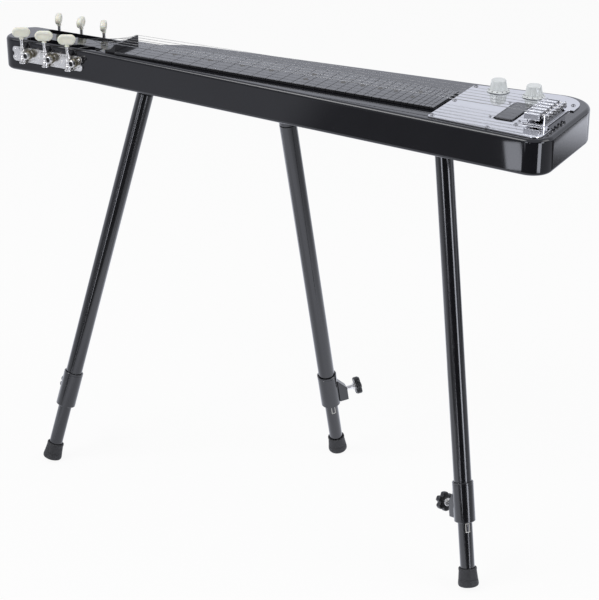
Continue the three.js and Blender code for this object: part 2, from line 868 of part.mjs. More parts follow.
// Legs
// A threaded socket: a flat flange under the body and a slanted boss that the leg screws into.
function makeLegSocket(leg) {
  const { up, top } = legFrame(leg);
  const lowerEnd = socketDrop(leg);
  const flange = bar(flangeRadius, -seatGap - flangeThickness, -seatGap, 20);
  const boss = bar(bossRadius, -flangeThickness, bossLength);
  const lower = bar(upperTubeRadius, -lowerEnd, -seatGap - flangeThickness / 2);
  const seat = block(
    [-flangeRadius, -flangeRadius, -seatGap - flangeThickness / 2],
    [flangeRadius, flangeRadius, bossLength],
  );
  const bore = bar(studRadius + runningGap, -lowerEnd - cutOverrun, bossLength + cutOverrun, 12);
  const origin = [0, 0, 0];
  const skirt = cut(aimed(lower, up, origin), seat);
  const whole = join(flange.translate(...origin), skirt, aimed(boss, up, origin));
  return cut(whole, aimed(bore, up, origin)).translate(...top.toArray());
}

// How far down the leg's axis the socket's slanted boss ends.
function socketDrop(leg) {
  const { tilt } = legFrame(leg);
  return (seatGap + flangeThickness + bossDrop + upperTubeRadius * Math.sin(tilt)) / Math.cos(tilt);
}

function makeUpperTube(leg) {
  const top = -socketDrop(leg) - seatGap;
  const end = -clampDrop(leg) + sleeveLength - sleeveGrip;
  const inner = lowerTubeRadius + runningGap;
  return turned([
    [0, top + studLength],
    [studRadius, top + studLength],
    [studRadius, top],
    [upperTubeRadius, top],
    [upperTubeRadius, end],
    [inner, end],
    [inner, top - upperCap],
    [0, top - upperCap],
  ]);
}

// A sleeve that grips the upper tube and guides the lower one, with a lug for its clamp screw.
function makeClampSleeve(leg) {
  const top = -clampDrop(leg) + sleeveLength;
  const shelf = top - sleeveGrip - seatGap;
  const sleeve = turned([
    [upperTubeRadius + seatGap, top],
    [sleeveRadius, top],
    [sleeveRadius, -clampDrop(leg)],
    [lowerTubeRadius + runningGap, -clampDrop(leg)],
    [lowerTubeRadius + runningGap, shelf],
    [upperTubeRadius + seatGap, shelf],
    [upperTubeRadius + seatGap, top],
  ]);
  const root = (sleeveRadius + upperTubeRadius + seatGap) / 2;
  const side = outline([
    [root, top - lugTop],
    [sleeveRadius, top - lugTop],
    [lugReach, top - lugTop - lugSlope],
    [lugReach, top - lugTop - lugHeight],
    [root, top - lugTop - lugHeight],
  ]);
  const lug = cut(upright(side, -lugWidth / 2, lugWidth / 2), bar(root, -clampDrop(leg), top));
  const hole = bar(clampRodRadius + runningGap, 0, lugReach + cutOverrun, 8);
  const place = [0, 0, top - clampScrewDrop];
  const turn = THREE.MathUtils.degToRad(leg.clampHeading);
  return cut(join(sleeve, lug), aimed(hole, new THREE.Vector3(1, 0, 0), place)).rotateZ(turn);
}

function starOutline() {
  const shape = [];
  const steps = 4 * starLobes;
  for (let i = 0; i < steps; i += 1) {
    const angle = 2 * Math.PI * i / steps;
    const dip = (1 - Math.cos(starLobes * angle)) / 2;
    const radius = starRadius - starNotch * dip;
    shape.push([radius * Math.cos(angle), radius * Math.sin(angle)]);
  }
  return outline(shape);
}

function makeClampScrew(leg) {
  const rod = bar(clampRodRadius, lowerTubeRadius + runningGap, starStandOff + starThickness / 2, 8);
  const star = slab(starOutline(), starStandOff, starStandOff + starThickness);
  const place = [0, 0, -clampDrop(leg) + sleeveLength - clampScrewDrop];
  const turn = THREE.MathUtils.degToRad(leg.clampHeading);
  return aimed(join(rod, star), new THREE.Vector3(1, 0, 0), place).rotateZ(turn);
}

// Distance down the leg's axis to the lower end of its clamp sleeve.
function clampDrop(leg) {
  return footBase(leg) - footHeight - bareLowerTube;
}

// Distance down the leg's axis to the middle of the foot's base, so that its lowest edge meets
// the floor when the flat is cut.
function footBase(leg) {
  const { tilt } = legFrame(leg);
  const edgeDrop = (footBaseRadius - footRound) * Math.sin(tilt) + footRound;
  return (standHeight + footFlat - edgeDrop) / Math.cos(tilt) + footRound;
}

function makeLowerTube(leg) {
  const bottom = -footBase(leg) + footSole + seatGap;
  const top = bottom + lowerTubeLength;
  return turned([
    [lowerTubeRadius - tubeWall, bottom],
    [lowerTubeRadius, bottom],
    [lowerTubeRadius, top],
    [lowerTubeRadius - tubeWall, top],
    [lowerTubeRadius - tubeWall, bottom],
  ]);
}

// A flared rubber cup, rounded at its lower edge and flat where it stands on the floor.
function makeFoot(leg) {
  const base = -footBase(leg);
  const round = [0, 1, 2, 3].map((step) => {
    const angle = step * Math.PI / 6;
    const radius = footBaseRadius - footRound + footRound * Math.sin(angle);
    return [radius, base + footRound - footRound * Math.cos(angle)];
  });
  const cup = turned([
    [0, base],
    ...round,
    [footTopRadius, base + footHeight],
    [lowerTubeRadius + seatGap, base + footHeight],
    [lowerTubeRadius + seatGap, base + footSole],
    [0, base + footSole],
  ]);
  const { frame, top } = legFrame(leg);
  const depth = top.z - standHeight;
  const [x, y] = [top.x, top.y];
  const floor = block(
    [x - bodyLength, y - bodyLength, depth - footHeight],
    [x + bodyLength, y + bodyLength, depth],
  );
  return cut(cup, floor.applyMatrix4(frame.matrix.clone().invert()));
}

// Assembly
piece('body', makeBody(), blackLacquer);
piece('fretboard', makeFretboard(), boardFinish);
piece('nut', makeNut(), blackPlastic);
piece('control_plate', makeControlPlate(), chrome);
piece('pickup', makePickup(), blackPlastic);
piece('bridge_plate', makeBridge(), chrome);
for (let i = 0; i < stringCount; i += 1) piece(`saddle_${i + 1}`, makeSaddle(i), chrome);
['volume_knob', 'tone_knob'].forEach((name, i) => {
  piece(name, makeKnob(), paleKnob).position.set(knobPlaces[i], knobLine, 0);
});
piece('knob_pots', makePots(), nickel);
piece('output_jack', makeJack(), chrome);
piece('tuner_plate_near', makeTunerPlate(-1), nickel);
piece('tuner_plate_far', makeTunerPlate(1), nickel);
for (const tuner of tuners()) {
  piece(`string_post_${tuner.number}`, makeStringPost(tuner), steel);
  piece(`worm_shaft_${tuner.number}`, makeWormShaft(tuner), nickel);
  piece(`tuner_button_${tuner.number}`, makeButton(tuner), creamPlastic);
  piece(`string_${tuner.string + 1}`, makeString(tuner), steel);
}
for (const leg of legs) {
  const { frame } = legFrame(leg);
  guitar.add(frame);
  piece(`leg_socket_${leg.number}`, makeLegSocket(leg), blackTube);
  piece(`upper_tube_${leg.number}`, makeUpperTube(leg), blackTube, frame);
  piece(`clamp_sleeve_${leg.number}`, makeClampSleeve(leg), blackTube, frame);
  piece(`clamp_screw_${leg.number}`, makeClampScrew(leg), blackPlastic, frame);
  piece(`lower_tube_${leg.number}`, makeLowerTube(leg), blackTube, frame);
  piece(`foot_${leg.number}`, makeFoot(leg), blackRubber, frame);
}

// The origin of the whole is on the floor below the middle of its extent.
const extent = new THREE.Box3().setFromObject(guitar, true);
const middle = extent.getCenter(new THREE.Vector3());
guitar.position.set(-middle.x, -middle.y, bodyThickness + standHeight);

export default guitar;
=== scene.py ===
# %% [markdown]
# A lap steel guitar on three telescopic legs. The imported CAD model is the fixed frame: it says
# where each piece is and what moves with what. Here each piece gets its fine shape and its
# finish. First the frame is loaded.

import bmesh
import bpy
import json
import math
from mathutils import Matrix, Vector


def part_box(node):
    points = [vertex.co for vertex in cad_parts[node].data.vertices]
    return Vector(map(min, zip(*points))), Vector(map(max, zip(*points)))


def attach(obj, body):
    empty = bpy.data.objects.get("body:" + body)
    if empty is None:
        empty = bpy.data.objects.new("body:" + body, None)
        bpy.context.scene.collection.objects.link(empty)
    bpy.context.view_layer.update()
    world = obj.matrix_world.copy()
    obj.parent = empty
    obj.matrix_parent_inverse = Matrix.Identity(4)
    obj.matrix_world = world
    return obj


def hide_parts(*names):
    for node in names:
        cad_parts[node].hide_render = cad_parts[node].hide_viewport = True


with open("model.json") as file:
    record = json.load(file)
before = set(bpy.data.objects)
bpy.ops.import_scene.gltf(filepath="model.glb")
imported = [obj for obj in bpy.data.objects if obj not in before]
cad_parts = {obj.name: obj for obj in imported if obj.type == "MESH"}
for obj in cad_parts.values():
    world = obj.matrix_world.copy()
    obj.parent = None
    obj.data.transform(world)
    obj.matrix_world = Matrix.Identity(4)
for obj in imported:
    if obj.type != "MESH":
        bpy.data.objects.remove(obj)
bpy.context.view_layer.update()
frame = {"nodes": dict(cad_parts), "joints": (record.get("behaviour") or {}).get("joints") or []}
joints = {joint["name"]: joint for joint in frame["joints"]}

# %% [markdown]
# A maker of such an instrument measures everything from the nut, where the strings leave the
# head. The pieces are therefore modelled in millimetres from the nut's front edge, on the
# middle of the strings, at the top of the body, and then settled into the frame.

# %% Measures from the nut
MM = 0.001
nut_low, nut_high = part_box("nut")
body_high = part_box("body")[1]
nut_edge = Vector((nut_high.x - 0.5 * MM, (nut_low.y + nut_high.y) / 2, body_high.z))
GUITAR = Matrix.Translation(nut_edge)
NEAR, FAR = -1, 1
print("nut edge at", [round(value, 4) for value in nut_edge])

# %% [markdown]
# The next helpers are the moves of modelling by hand: let go of everything, open one mesh,
# pick faces, edges or corners by where they are, and close it again. A pick is given as a test
# on the middle of each face and its normal, so it doesn't depend on how faces are numbered.

# %% Open, pick and close
def calm():
    """Leave edit mode and select nothing."""
    if bpy.context.object and bpy.context.object.mode == "EDIT":
        bpy.ops.object.mode_set(mode="OBJECT")
    bpy.ops.object.select_all(action="DESELECT")


def hold(piece, *others):
    """Select a piece, with others if there are any, and make it the active one."""
    calm()
    for each in (piece, *others):
        each.select_set(True)
    bpy.context.view_layer.objects.active = piece
    return piece


def open_mesh(piece):
    hold(piece)
    bpy.ops.object.mode_set(mode="EDIT")
    bpy.ops.mesh.select_all(action="DESELECT")


def close_mesh(piece):
    """Turn all faces outwards and leave edit mode."""
    bpy.ops.mesh.select_all(action="SELECT")
    bpy.ops.mesh.remove_doubles(threshold=0.001 * MM)
    bpy.ops.mesh.normals_make_consistent(inside=False)
    bpy.ops.object.mode_set(mode="OBJECT")
    return piece


def pick(kind, test):
    """Select the FACEs, EDGEs or VERTs of the open mesh whose middle in mm and whose normal
    (for an edge its direction) pass the test."""
    bpy.ops.mesh.select_mode(type=kind)
    bpy.ops.mesh.select_all(action="DESELECT")
    mesh = bmesh.from_edit_mesh(bpy.context.object.data)
    mesh.normal_update()
    parts = {"FACE": mesh.faces, "EDGE": mesh.edges, "VERT": mesh.verts}[kind]
    for part in parts:
        if kind == "FACE":
            middle, normal = part.calc_center_median(), part.normal
        elif kind == "EDGE":
            first, last = (corner.co for corner in part.verts)
            middle, normal = (first + last) / 2, (last - first).normalized()
        else:
            middle, normal = part.co, part.normal
        if test(middle / MM, normal):
            part.select_set(True)
    mesh.select_flush_mode()
    bmesh.update_edit_mesh(bpy.context.object.data)


def slide(x=0, y=0, z=0):
    bpy.ops.transform.translate(value=(x * MM, y * MM, z * MM))


def raise_faces(x=0, y=0, z=0):
    """Extrude what is picked, as one region, by a distance in mm."""
    step = {"value": (x * MM, y * MM, z * MM)}
    bpy.ops.mesh.extrude_region_move(TRANSFORM_OT_translate=step)


# %% [markdown]
# Squared pieces start as a cube stretched between two corners. Turned pieces start as a disc
# that is raised and scaled from ring to ring, as a lathe works along its profile. Sharp edges
# are then rounded, because no real edge is knife sharp and the roundings catch the light.

# %% Blocks, turned pieces and roundings
def named(name):
    piece = bpy.context.object
    piece.name = piece.data.name = name
    bpy.ops.object.transform_apply(location=True, rotation=True, scale=True)
    return piece


def block(name, low, high):
    low, high = Vector(low) * MM, Vector(high) * MM
    calm()
    bpy.ops.mesh.primitive_cube_add(size=1, location=(low + high) / 2)
    bpy.context.object.scale = high - low
    return named(name)


def turned(name, rings, sides=48):
    """A piece turned about Z, through rings of (radius, height) in mm."""
    calm()
    (radius, height), *others = rings
    bpy.ops.mesh.primitive_circle_add(
        vertices=sides, radius=radius * MM, fill_type="NGON", location=(0, 0, height * MM))
    piece = named(name)
    open_mesh(piece)
    bpy.ops.mesh.select_all(action="SELECT")
    for next_radius, next_height in others:
        raise_faces(z=next_height - height)
        ratio = next_radius / radius
        centre = (0, 0, next_height * MM)
        bpy.ops.transform.resize(value=(ratio, ratio, 1), center_override=centre)
        radius, height = next_radius, next_height
    return close_mesh(piece)


def soften(piece, width, segments=3, angle=35):
    """Round every edge that is sharper than an angle."""
    open_mesh(piece)
    bpy.ops.mesh.select_mode(type="EDGE")
    bpy.ops.mesh.edges_select_sharp(sharpness=math.radians(angle))
    bpy.ops.mesh.bevel(offset=width * MM, segments=segments, affect="EDGES")
    return close_mesh(piece)


def round_edges(piece, test, radius, segments, **shape):
    """Round the edges that pass a test, by a radius in mm."""
    open_mesh(piece)
    pick("EDGE", test)
    bpy.ops.mesh.bevel(offset=radius * MM, segments=segments, affect="EDGES", **shape)
    return close_mesh(piece)


def upright(c, n):
    """A test for edges that run along Z."""
    return abs(n.z) > 0.9


def modify(piece, kind, **settings):
    """Add a modifier with its settings, and apply it."""
    hold(piece)
    bpy.ops.object.modifier_add(type=kind)
    for key, value in settings.items():
        setattr(piece.modifiers[-1], key, value)
    bpy.ops.object.modifier_apply(modifier=piece.modifiers[-1].name)


def cut_away(piece, *cutters):
    """Take the shape of each cutter out of a piece, and throw the cutters away."""
    for cutter in cutters:
        modify(piece, "BOOLEAN", object=cutter, solver="EXACT")
        bpy.data.objects.remove(cutter)
    return piece


def slice_off(piece, place, way):
    """Take off what lies beyond a plane, and close the cut."""
    open_mesh(piece)
    bpy.ops.mesh.select_all(action="SELECT")
    bpy.ops.mesh.bisect(plane_co=place, plane_no=way, clear_outer=True, use_fill=True)
    return close_mesh(piece)


def fuse(piece, *others):
    """Make several meshes one piece."""
    hold(piece, *others)
    bpy.ops.object.join()
    return piece


def gathered(name, pieces):
    """Make a list of meshes one piece with a name of its own."""
    piece = fuse(*pieces)
    piece.name = piece.data.name = name
    return piece


def copied(piece, name, move=(0, 0, 0)):
    """A copy with its own mesh, moved by a distance in mm."""
    hold(piece)
    bpy.ops.object.duplicate()
    copy = bpy.context.object
    copy.location = Vector(move) * MM
    return named(name)


def settle(piece, place=GUITAR):
    """Put a piece that was modelled round the origin in its place, and leave that in its mesh."""
    hold(piece)
    piece.matrix_world = place
    bpy.ops.object.transform_apply(location=True, rotation=True, scale=True)
    return piece


def aim(place, direction, side=None):
    """The place of a piece whose Z axis points along a direction, with X along a side."""
    z_axis = Vector(direction).normalized()
    if side is None:
        turn = Vector((0, 0, 1)).rotation_difference(z_axis).to_matrix().to_4x4()
        return Matrix.Translation(place) @ turn
    x_axis = Vector(side)
    x_axis = (x_axis - z_axis * x_axis.dot(z_axis)).normalized()
    y_axis = z_axis.cross(x_axis)
    turn = Matrix((x_axis, y_axis, z_axis)).transposed().to_4x4()
    return Matrix.Translation(place) @ turn


def spot(x, y, z):
    """A place in mm from the nut, in the frame of the guitar."""
    return nut_edge + Vector((x, y, z)) * MM


# %% [markdown]
# When a piece has its shape, it is shaded smooth except at its sharp edges, gets its finish,
# and is told which body it rides on and which CAD node it replaces. Weighted normals keep large
# flat faces flat beside narrow roundings.

# %% Dress a piece
def dress(piece, finish, body, slot, *nodes, angle=40, weighted=True):
    hold(piece)
    bpy.ops.object.shade_smooth_by_angle(angle=math.radians(angle))
    if weighted:
        modify(piece, "WEIGHTED_NORMAL", keep_sharp=True)
    piece.data.materials.clear()
    piece.data.materials.append(finish.material)
    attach(piece, body)
    if nodes:
        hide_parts(*nodes)
    return piece


# %% [markdown]
# Finishes are written as sums. A Wire wraps one output of a shader node, and plus, minus, times,
# divided by and less than add the Math nodes. A Finish is a material whose fixed values are set
# on its shader, and whose method `node` adds any other node with its settings and inputs.

# %% Wires and finishes
class Wire:
    """An output of a shader node, with arithmetic."""

    def __init__(self, finish, socket):
        self.finish, self.socket = finish, socket

    def math(self, operation, *values):
        return self.finish.node("Math", {"operation": operation}, dict(enumerate(values)))

    def __add__(self, other):
        return self.math("ADD", self, other)

    def __sub__(self, other):
        return self.math("SUBTRACT", self, other)

    def __rsub__(self, other):
        return self.math("SUBTRACT", other, self)

    def __mul__(self, other):
        return self.math("MULTIPLY", self, other)

    def __truediv__(self, other):
        return self.math("DIVIDE", self, other)

    def __lt__(self, other):
        return self.math("LESS_THAN", self, other)

    __radd__, __rmul__ = __add__, __mul__

    def part(self, axis):
        """X, Y or Z of a vector."""
        return self.finish.node("SeparateXYZ", {}, {0: self}, output=axis)


class Finish:
    """A material with one Principled shader, whose other nodes come from one method."""

    def __init__(self, name, color, **fixed):
        self.material = bpy.data.materials.new(name)
        self.material.use_nodes = True
        self.tree = self.material.node_tree
        self.shader = self.tree.nodes["Principled BSDF"]
        self.feed("Base Color", (*color, 1))
        for socket, value in fixed.items():
            self.feed(socket.replace("_", " "), value)

    def feed(self, socket, value, node=None):
        """Link a wire to an input, or set a fixed value on it."""
        entry = (node or self.shader).inputs[socket]
        if isinstance(value, Wire):
            self.tree.links.new(value.socket, entry)
        else:
            entry.default_value = value

    def node(self, kind, settings, inputs, output=0):
        made = self.tree.nodes.new("ShaderNode" + kind)
        for key, value in settings.items():
            setattr(made, key, value)
        for socket, value in inputs.items():
            self.feed(socket, value, made)
        return Wire(self, made.outputs[output])

    def place(self):
        """The place on the piece, in mm."""
        mapped = {"Vector": self.node("TexCoord", {}, {}, output="Object"), "Scale": (1000,) * 3}
        return self.node("Mapping", {}, mapped)

    def soft(self, value, low, high):
        """0 up to the first value, 1 from the second, with a soft step between them."""
        steps = {0: value, 1: low, 2: high}
        return self.node("MapRange", {"interpolation_type": "SMOOTHSTEP"}, steps)

    def band(self, value, low, high, edge):
        """1 between two values, with soft edges."""
        above = self.soft(value, low - edge, low + edge)
        return above * (1 - self.soft(value, high - edge, high + edge))

    def bearing(self, x, y):
        """The direction of a place round the origin in degrees, from the X axis."""
        return x.math("ARCTAN2", y, x) * (180 / math.pi)

    def noise(self, size, detail=3):
        """Cloudy variation from 0 to 1, with spots of about a size in mm."""
        inputs = {"Vector": self.place(), "Scale": 1 / size, "Detail": detail}
        return self.node("TexNoise", {}, inputs)

    def mixed(self, mask, first, second):
        """A colour that goes from the first to the second where the mask is 1."""
        inputs = {0: mask, 6: first if isinstance(first, Wire) else (*first, 1),
                  7: second if isinstance(second, Wire) else (*second, 1)}
        return self.node("Mix", {"data_type": "RGBA"}, inputs, output=2)

    def relief(self, height, strength, distance):
        """A bump whose height is a wire, with its depth in mm."""
        inputs = {"Strength": strength, "Distance": distance * MM, "Height": height}
        self.feed("Normal", self.node("Bump", {}, inputs))


# %% [markdown]
# No real surface is the same all over. Most finishes here go between two colours in cloudy
# spots, are rougher where they are darker or more worn, and have a relief of their own scale.

# %% Clouded finishes
def clouded(name, spots, first, second, rough, spread, relief=None, **fixed):
    """A finish whose colour and roughness vary in spots, given as a size in mm and a detail."""
    finish = Finish(name, first, **fixed)
    cloud = finish.noise(*spots)
    finish.feed("Base Color", finish.mixed(cloud, first, second))
    finish.feed("Roughness", cloud * spread + rough)
    if relief:
        size, detail, strength, depth = relief
        finish.relief(finish.noise(size, detail), strength, depth)
    return finish


# %% [markdown]
# The camera comes before any piece, so that every render can be laid beside the photograph. Its
# place and its lens were solved from the fret spacing and the edges of the body. It looks
# along a direction 29 degrees round from the guitar's side and 24 degrees down.

# %% Camera
AZIMUTH, ELEVATION, ROLL = 29.22, 24.38, -0.09
CAMERA_PLACE, LENS, SENSOR_WIDTH = (1278.4, -1820.6, 639.2), 103.97, 36


def set_camera():
    azimuth, elevation, roll = (math.radians(angle) for angle in (AZIMUTH, ELEVATION, ROLL))
    forward = Vector((-math.sin(azimuth) * math.cos(elevation),
                      math.cos(azimuth) * math.cos(elevation), -math.sin(elevation)))
    flat = Vector((math.cos(azimuth), math.sin(azimuth), 0))
    up = flat.cross(forward)
    right = flat * math.cos(roll) + up * math.sin(roll)
    up = up * math.cos(roll) - flat * math.sin(roll)
    turn = Matrix((right, up, -forward)).transposed().to_4x4()
    calm()
    bpy.ops.object.camera_add()
    camera = bpy.context.object
    camera.name = "camera"
    camera.matrix_world = Matrix.Translation(spot(*CAMERA_PLACE)) @ turn
    camera.data.sensor_fit = "HORIZONTAL"
    camera.data.sensor_width = SENSOR_WIDTH
    camera.data.lens = LENS
    bpy.context.scene.camera = camera
    return camera


camera = set_camera()
print("camera at", [round(value, 3) for value in camera.location])

# %% [markdown]
# A white studio: a pale floor, a white world and large soft lamps. The floor is mixed with white
# light of strength 1 for the rays that look at it, so it comes out white and still keeps a faint
# shadow under the feet. Polished faces see more than white: floor and world carry painted
# reflections, dark in front of the guitar with a few narrow painted highlights in it. These give
# black lacquer its depth and its streaks.

# %% Rays that look
LOOKED_AT = ("Is Camera Ray", "Is Glossy Ray", "Is Transmission Ray")


def seen(finish):
    """1 for a ray from the camera, from a polished face or through glass."""
    first, *others = (finish.node("LightPath", {}, {}, output=ray) for ray in LOOKED_AT)
    for other in others:
        first = first.math("MAXIMUM", first, other)
    return first


def cool_in_mirrors(finish, brightness):
    """White, and for polished faces a painted reflection: a cool grey of some brightness."""
    mirrored = finish.node("LightPath", {}, {}, output="Is Glossy Ray")
    # For glossy rays this colour is a painted reflection, not a lamp.
    cool = finish.node("VectorMath", {"operation": "SCALE"},
                       {0: (0.96, 0.99, 1.10), "Scale": brightness})
    return finish.mixed(mirrored, (1, 1, 1), cool)


# %% [markdown]
# The floor is a plain grid. For polished faces it has painted reflections, darker and brighter
# patches, as one would chalk them out: most between bearings and distances from the foot of a
# leg, the others between straight lines.

# %% Floor
HEAD_FOOT, TAIL_FOOT, SHADOW_SHARE = (-0.285, -0.11), (0.38, -0.08), 0.08


def floor_in_mirrors(pale):
    """How bright the floor's painted reflections are for polished faces, by its place in metres.

    The painted dark room lies in front, seen from the head's leg. The painted glow that the tail
    mirrors lies behind.
    """
    where = pale.node("TexCoord", {}, {}, output="Object")
    x, y = where.part("X"), where.part("Y")
    head_x, head_y = x - HEAD_FOOT[0], y - HEAD_FOOT[1]
    tail_x, tail_y = x - TAIL_FOOT[0], y - TAIL_FOOT[1]
    from_head, from_tail = pale.bearing(head_x, head_y), pale.bearing(tail_x, tail_y)
    head_reach = head_x.math("SQRT", head_x * head_x + head_y * head_y)
    tail_reach = tail_x.math("SQRT", tail_x * tail_x + tail_y * tail_y)
    # Painted reflections for polished faces: a painted dark room in front (depth is its level), a
    # painted gradient elsewhere (plain), a painted glow behind the tail, and bright painted
    # highlight patches.
    painted_dark_room = pale.band(from_head, -118, -24, 3) * pale.soft(head_reach, 0.95, 1.15)
    depth = 0.2 - pale.soft(from_head, -92, -86) * 0.14
    plain = (0.92 - 0.2 * pale.soft(head_reach, 0.9, 1.3) - 0.25 * pale.soft(x, 0.5, 0.8)
             + pale.band(head_reach, 0.35, 0.75, 0.1) * 0.3)
    behind = pale.soft(x, 0.7, 0.8) * pale.soft(y, 1.1, 1.25)
    painted_tail_glow = (0.1 + pale.soft(y, 1.34, 1.74) * 2.1) * (1 - pale.soft(x, 0.975, 0.99) * 0.9)
    across, along = x * 0.845 - y * 0.534, x * 0.534 + y * 0.845
    painted_panel_highlight = pale.band(across, 0.3595, 0.3965, 0.0015) * pale.band(along, -1.53, -1.284, 0.003)
    painted_card_highlight = pale.band(from_head, -97, -82, 1) * pale.band(head_reach, 1.49, 1.8, 0.02)
    painted_window_highlight = pale.band(from_head, -87, -82, 0.5) * pale.soft(head_reach, 2.1, 2.5)
    painted_strip_highlight = pale.band(from_tail, -39, -21, 1) * pale.soft(tail_reach, 1.40, 1.44)
    plain = plain - (plain - depth) * painted_dark_room
    plain = plain - (plain - painted_tail_glow) * behind
    return plain + painted_panel_highlight * 4.8 + painted_card_highlight * 1.1 + painted_window_highlight * 4 + painted_strip_highlight * 6


def make_floor():
    calm()
    bpy.ops.mesh.primitive_grid_add(x_subdivisions=4, y_subdivisions=4, size=9)
    floor = named("studio_floor")
    pale = Finish("pale_floor", (0.9, 0.9, 0.9), Roughness=0.9)
    # The emission is white for the camera, and carries the painted reflections for polished faces.
    seen_color = cool_in_mirrors(pale, floor_in_mirrors(pale))
    white_and_painted_reflections = pale.node("Emission", {}, {"Strength": 1.0, "Color": seen_color})
    lit = Wire(pale, pale.shader.outputs[0])
    blend = pale.node("MixShader", {}, {0: seen(pale) * (1 - SHADOW_SHARE), 1: lit, 2: white_and_painted_reflections})
    pale.feed("Surface", blend, pale.tree.nodes["Material Output"])
    floor.data.materials.append(pale.material)


make_floor()
print("floor is laid")

# %% [markdown]
# The white world lights everything evenly, and two softboxes give the shapes their shade. In
# mirrors the world carries painted reflections: it is dimmer on the camera's side, with three
# narrow bright painted highlights in it.

# %% World and lamps
def room_in_mirrors(sky):
    """How bright the room's painted reflections are for polished faces, by its direction."""
    toward = sky.node("TexCoord", {}, {}, output="Generated")
    bearing, height = sky.bearing(toward.part("X"), toward.part("Y")), toward.part("Z")
    # Painted reflections of the room: dimmer bands on the camera's side and narrow bright painted
    # highlights, low down.
    low = 1 - sky.soft(height, 0.3, 0.4)
    painted_dim_bands = sky.band(bearing, -150, 20, 12) * 0.45 + sky.band(bearing, -92, -4, 4) * 0.31
    painted_bright_bands = (sky.band(bearing, -109, -96, 0.8) * sky.soft(height, 0.06, 0.09)
              + sky.band(bearing, -87, -82, 0.5) * (1 - sky.soft(height, 0.02, 0.05))
              + sky.band(bearing, -25, -10, 2))
    return 0.82 + low * (painted_bright_bands * 5.4 - painted_dim_bands)


def make_world():
    world = bpy.data.worlds.new("white_studio")
    world.use_nodes = True
    bpy.context.scene.world = world
    sky = Finish.__new__(Finish)
    sky.tree = world.node_tree
    sky.shader = world.node_tree.nodes["Background"]
    # For polished faces the world's colour is a painted reflection.
    sky.feed("Color", cool_in_mirrors(sky, room_in_mirrors(sky)))
    sky.feed("Strength", seen(sky) * 0.55 + 0.45)


def softbox(name, place, target, width, height, watts):
    calm()
    bpy.ops.object.light_add(type="AREA", location=place)
    lamp = bpy.context.object
    lamp.name = name
    lamp.data.shape = "RECTANGLE"
    lamp.data.size, lamp.data.size_y = width, height
    lamp.data.energy = watts
    lamp.rotation_mode = "QUATERNION"
    lamp.rotation_quaternion = (Vector(target) - Vector(place)).to_track_quat("-Z", "Y")


bpy.context.scene.view_settings.view_transform = "Standard"
make_world()
softbox("key_softbox", (-1.2, -1.4, 2.6), (0, 0, 0.5), 1.6, 1.2, 34)
softbox("fill_softbox", (2.2, 0.4, 2.0), (0.2, 0, 0.4), 1.4, 1.4, 16)
print("studio is lit")

# %% [markdown]
# The body is one long board of wood under thick black lacquer. The lacquer is almost black, and
# what is seen on it is the studio mirrored in its clear top coat. Real lacquer is never quite
# flat: a slow waviness and faint polishing haze break the mirror a little.

# %% Lacquer
lacquer = clouded("black_lacquer", (40, 3), (0.004, 0.004, 0.006), (0.009, 0.009, 0.012),
                  0.14, 0.12, (60, 1, 0.12, 0.2), Specular_IOR_Level=0.02, Coat_Weight=1.0,
                  Coat_Roughness=0.03)

# %% [markdown]
# The body's outline is drawn as a strip along the strings. A plane makes the head, its end edge
# is extruded from station to station, and the two corners of each station slide to the near
# and far reach there. The four outer corners are rounded, then the strip gets its thickness.

# %% Body board
HEAD_END, TAPER_START, TAPER_BEND, TAIL_END = -184, -45, 480, 623.5
SHOULDER_START, SHOULDER_END = 2, 95
HEAD_NEAR, HEAD_FAR, TAIL_NEAR, TAIL_FAR = -32.5, 33, -86.5, 97.5
SHOULDER_FAR, BEND_FAR = 63, 86
BODY_DEPTH = 44


def near_reach(x):
    """The near side runs straight along the tuners and then tapers out to the tail."""
    slope = (TAIL_NEAR - HEAD_NEAR) / (TAIL_END - TAPER_START)
    return HEAD_NEAR + max(x - TAPER_START, 0) * slope


def shoulder_stations():
    """The far side swings out from the head to the fretboard's side along a soft S."""
    start, end = Vector((SHOULDER_START, HEAD_FAR)), Vector((SHOULDER_END, SHOULDER_FAR))
    pull = (SHOULDER_END - SHOULDER_START) / 2
    first, second = start + Vector((pull / 2, 0)), end - Vector((pull, 0))
    stations = []
    for step in range(13):
        t = step / 12
        x, far = ((1 - t) ** 3 * start + 3 * t * (1 - t) ** 2 * first
                  + 3 * t * t * (1 - t) * second + t ** 3 * end)
        stations.append((x, near_reach(x), far))
    return stations


STATIONS = [(HEAD_END, HEAD_NEAR, HEAD_FAR), (TAPER_START, HEAD_NEAR, HEAD_FAR),
            *shoulder_stations(), (TAPER_BEND, near_reach(TAPER_BEND), BEND_FAR),
            (TAIL_END, TAIL_NEAR, TAIL_FAR)]


def far_reach(x):
    x = min(max(x, HEAD_END), TAIL_END)
    for (x0, _, far0), (x1, _, far1) in zip(STATIONS, STATIONS[1:]):
        if x0 <= x <= x1:
            return far0 + (far1 - far0) * (x - x0) / (x1 - x0)


def on_rim(c, n):
    """Whether an edge lies on the outline, and not across the board. The ends are all outline."""
    near, far = near_reach(c.x), far_reach(c.x)
    off_middle = abs(c.y - (near + far) / 2) > 0.45 * (far - near)
    return abs(n.z) < 0.1 and (off_middle or c.x > TAIL_END - 51.5 or c.x < HEAD_END + 21)


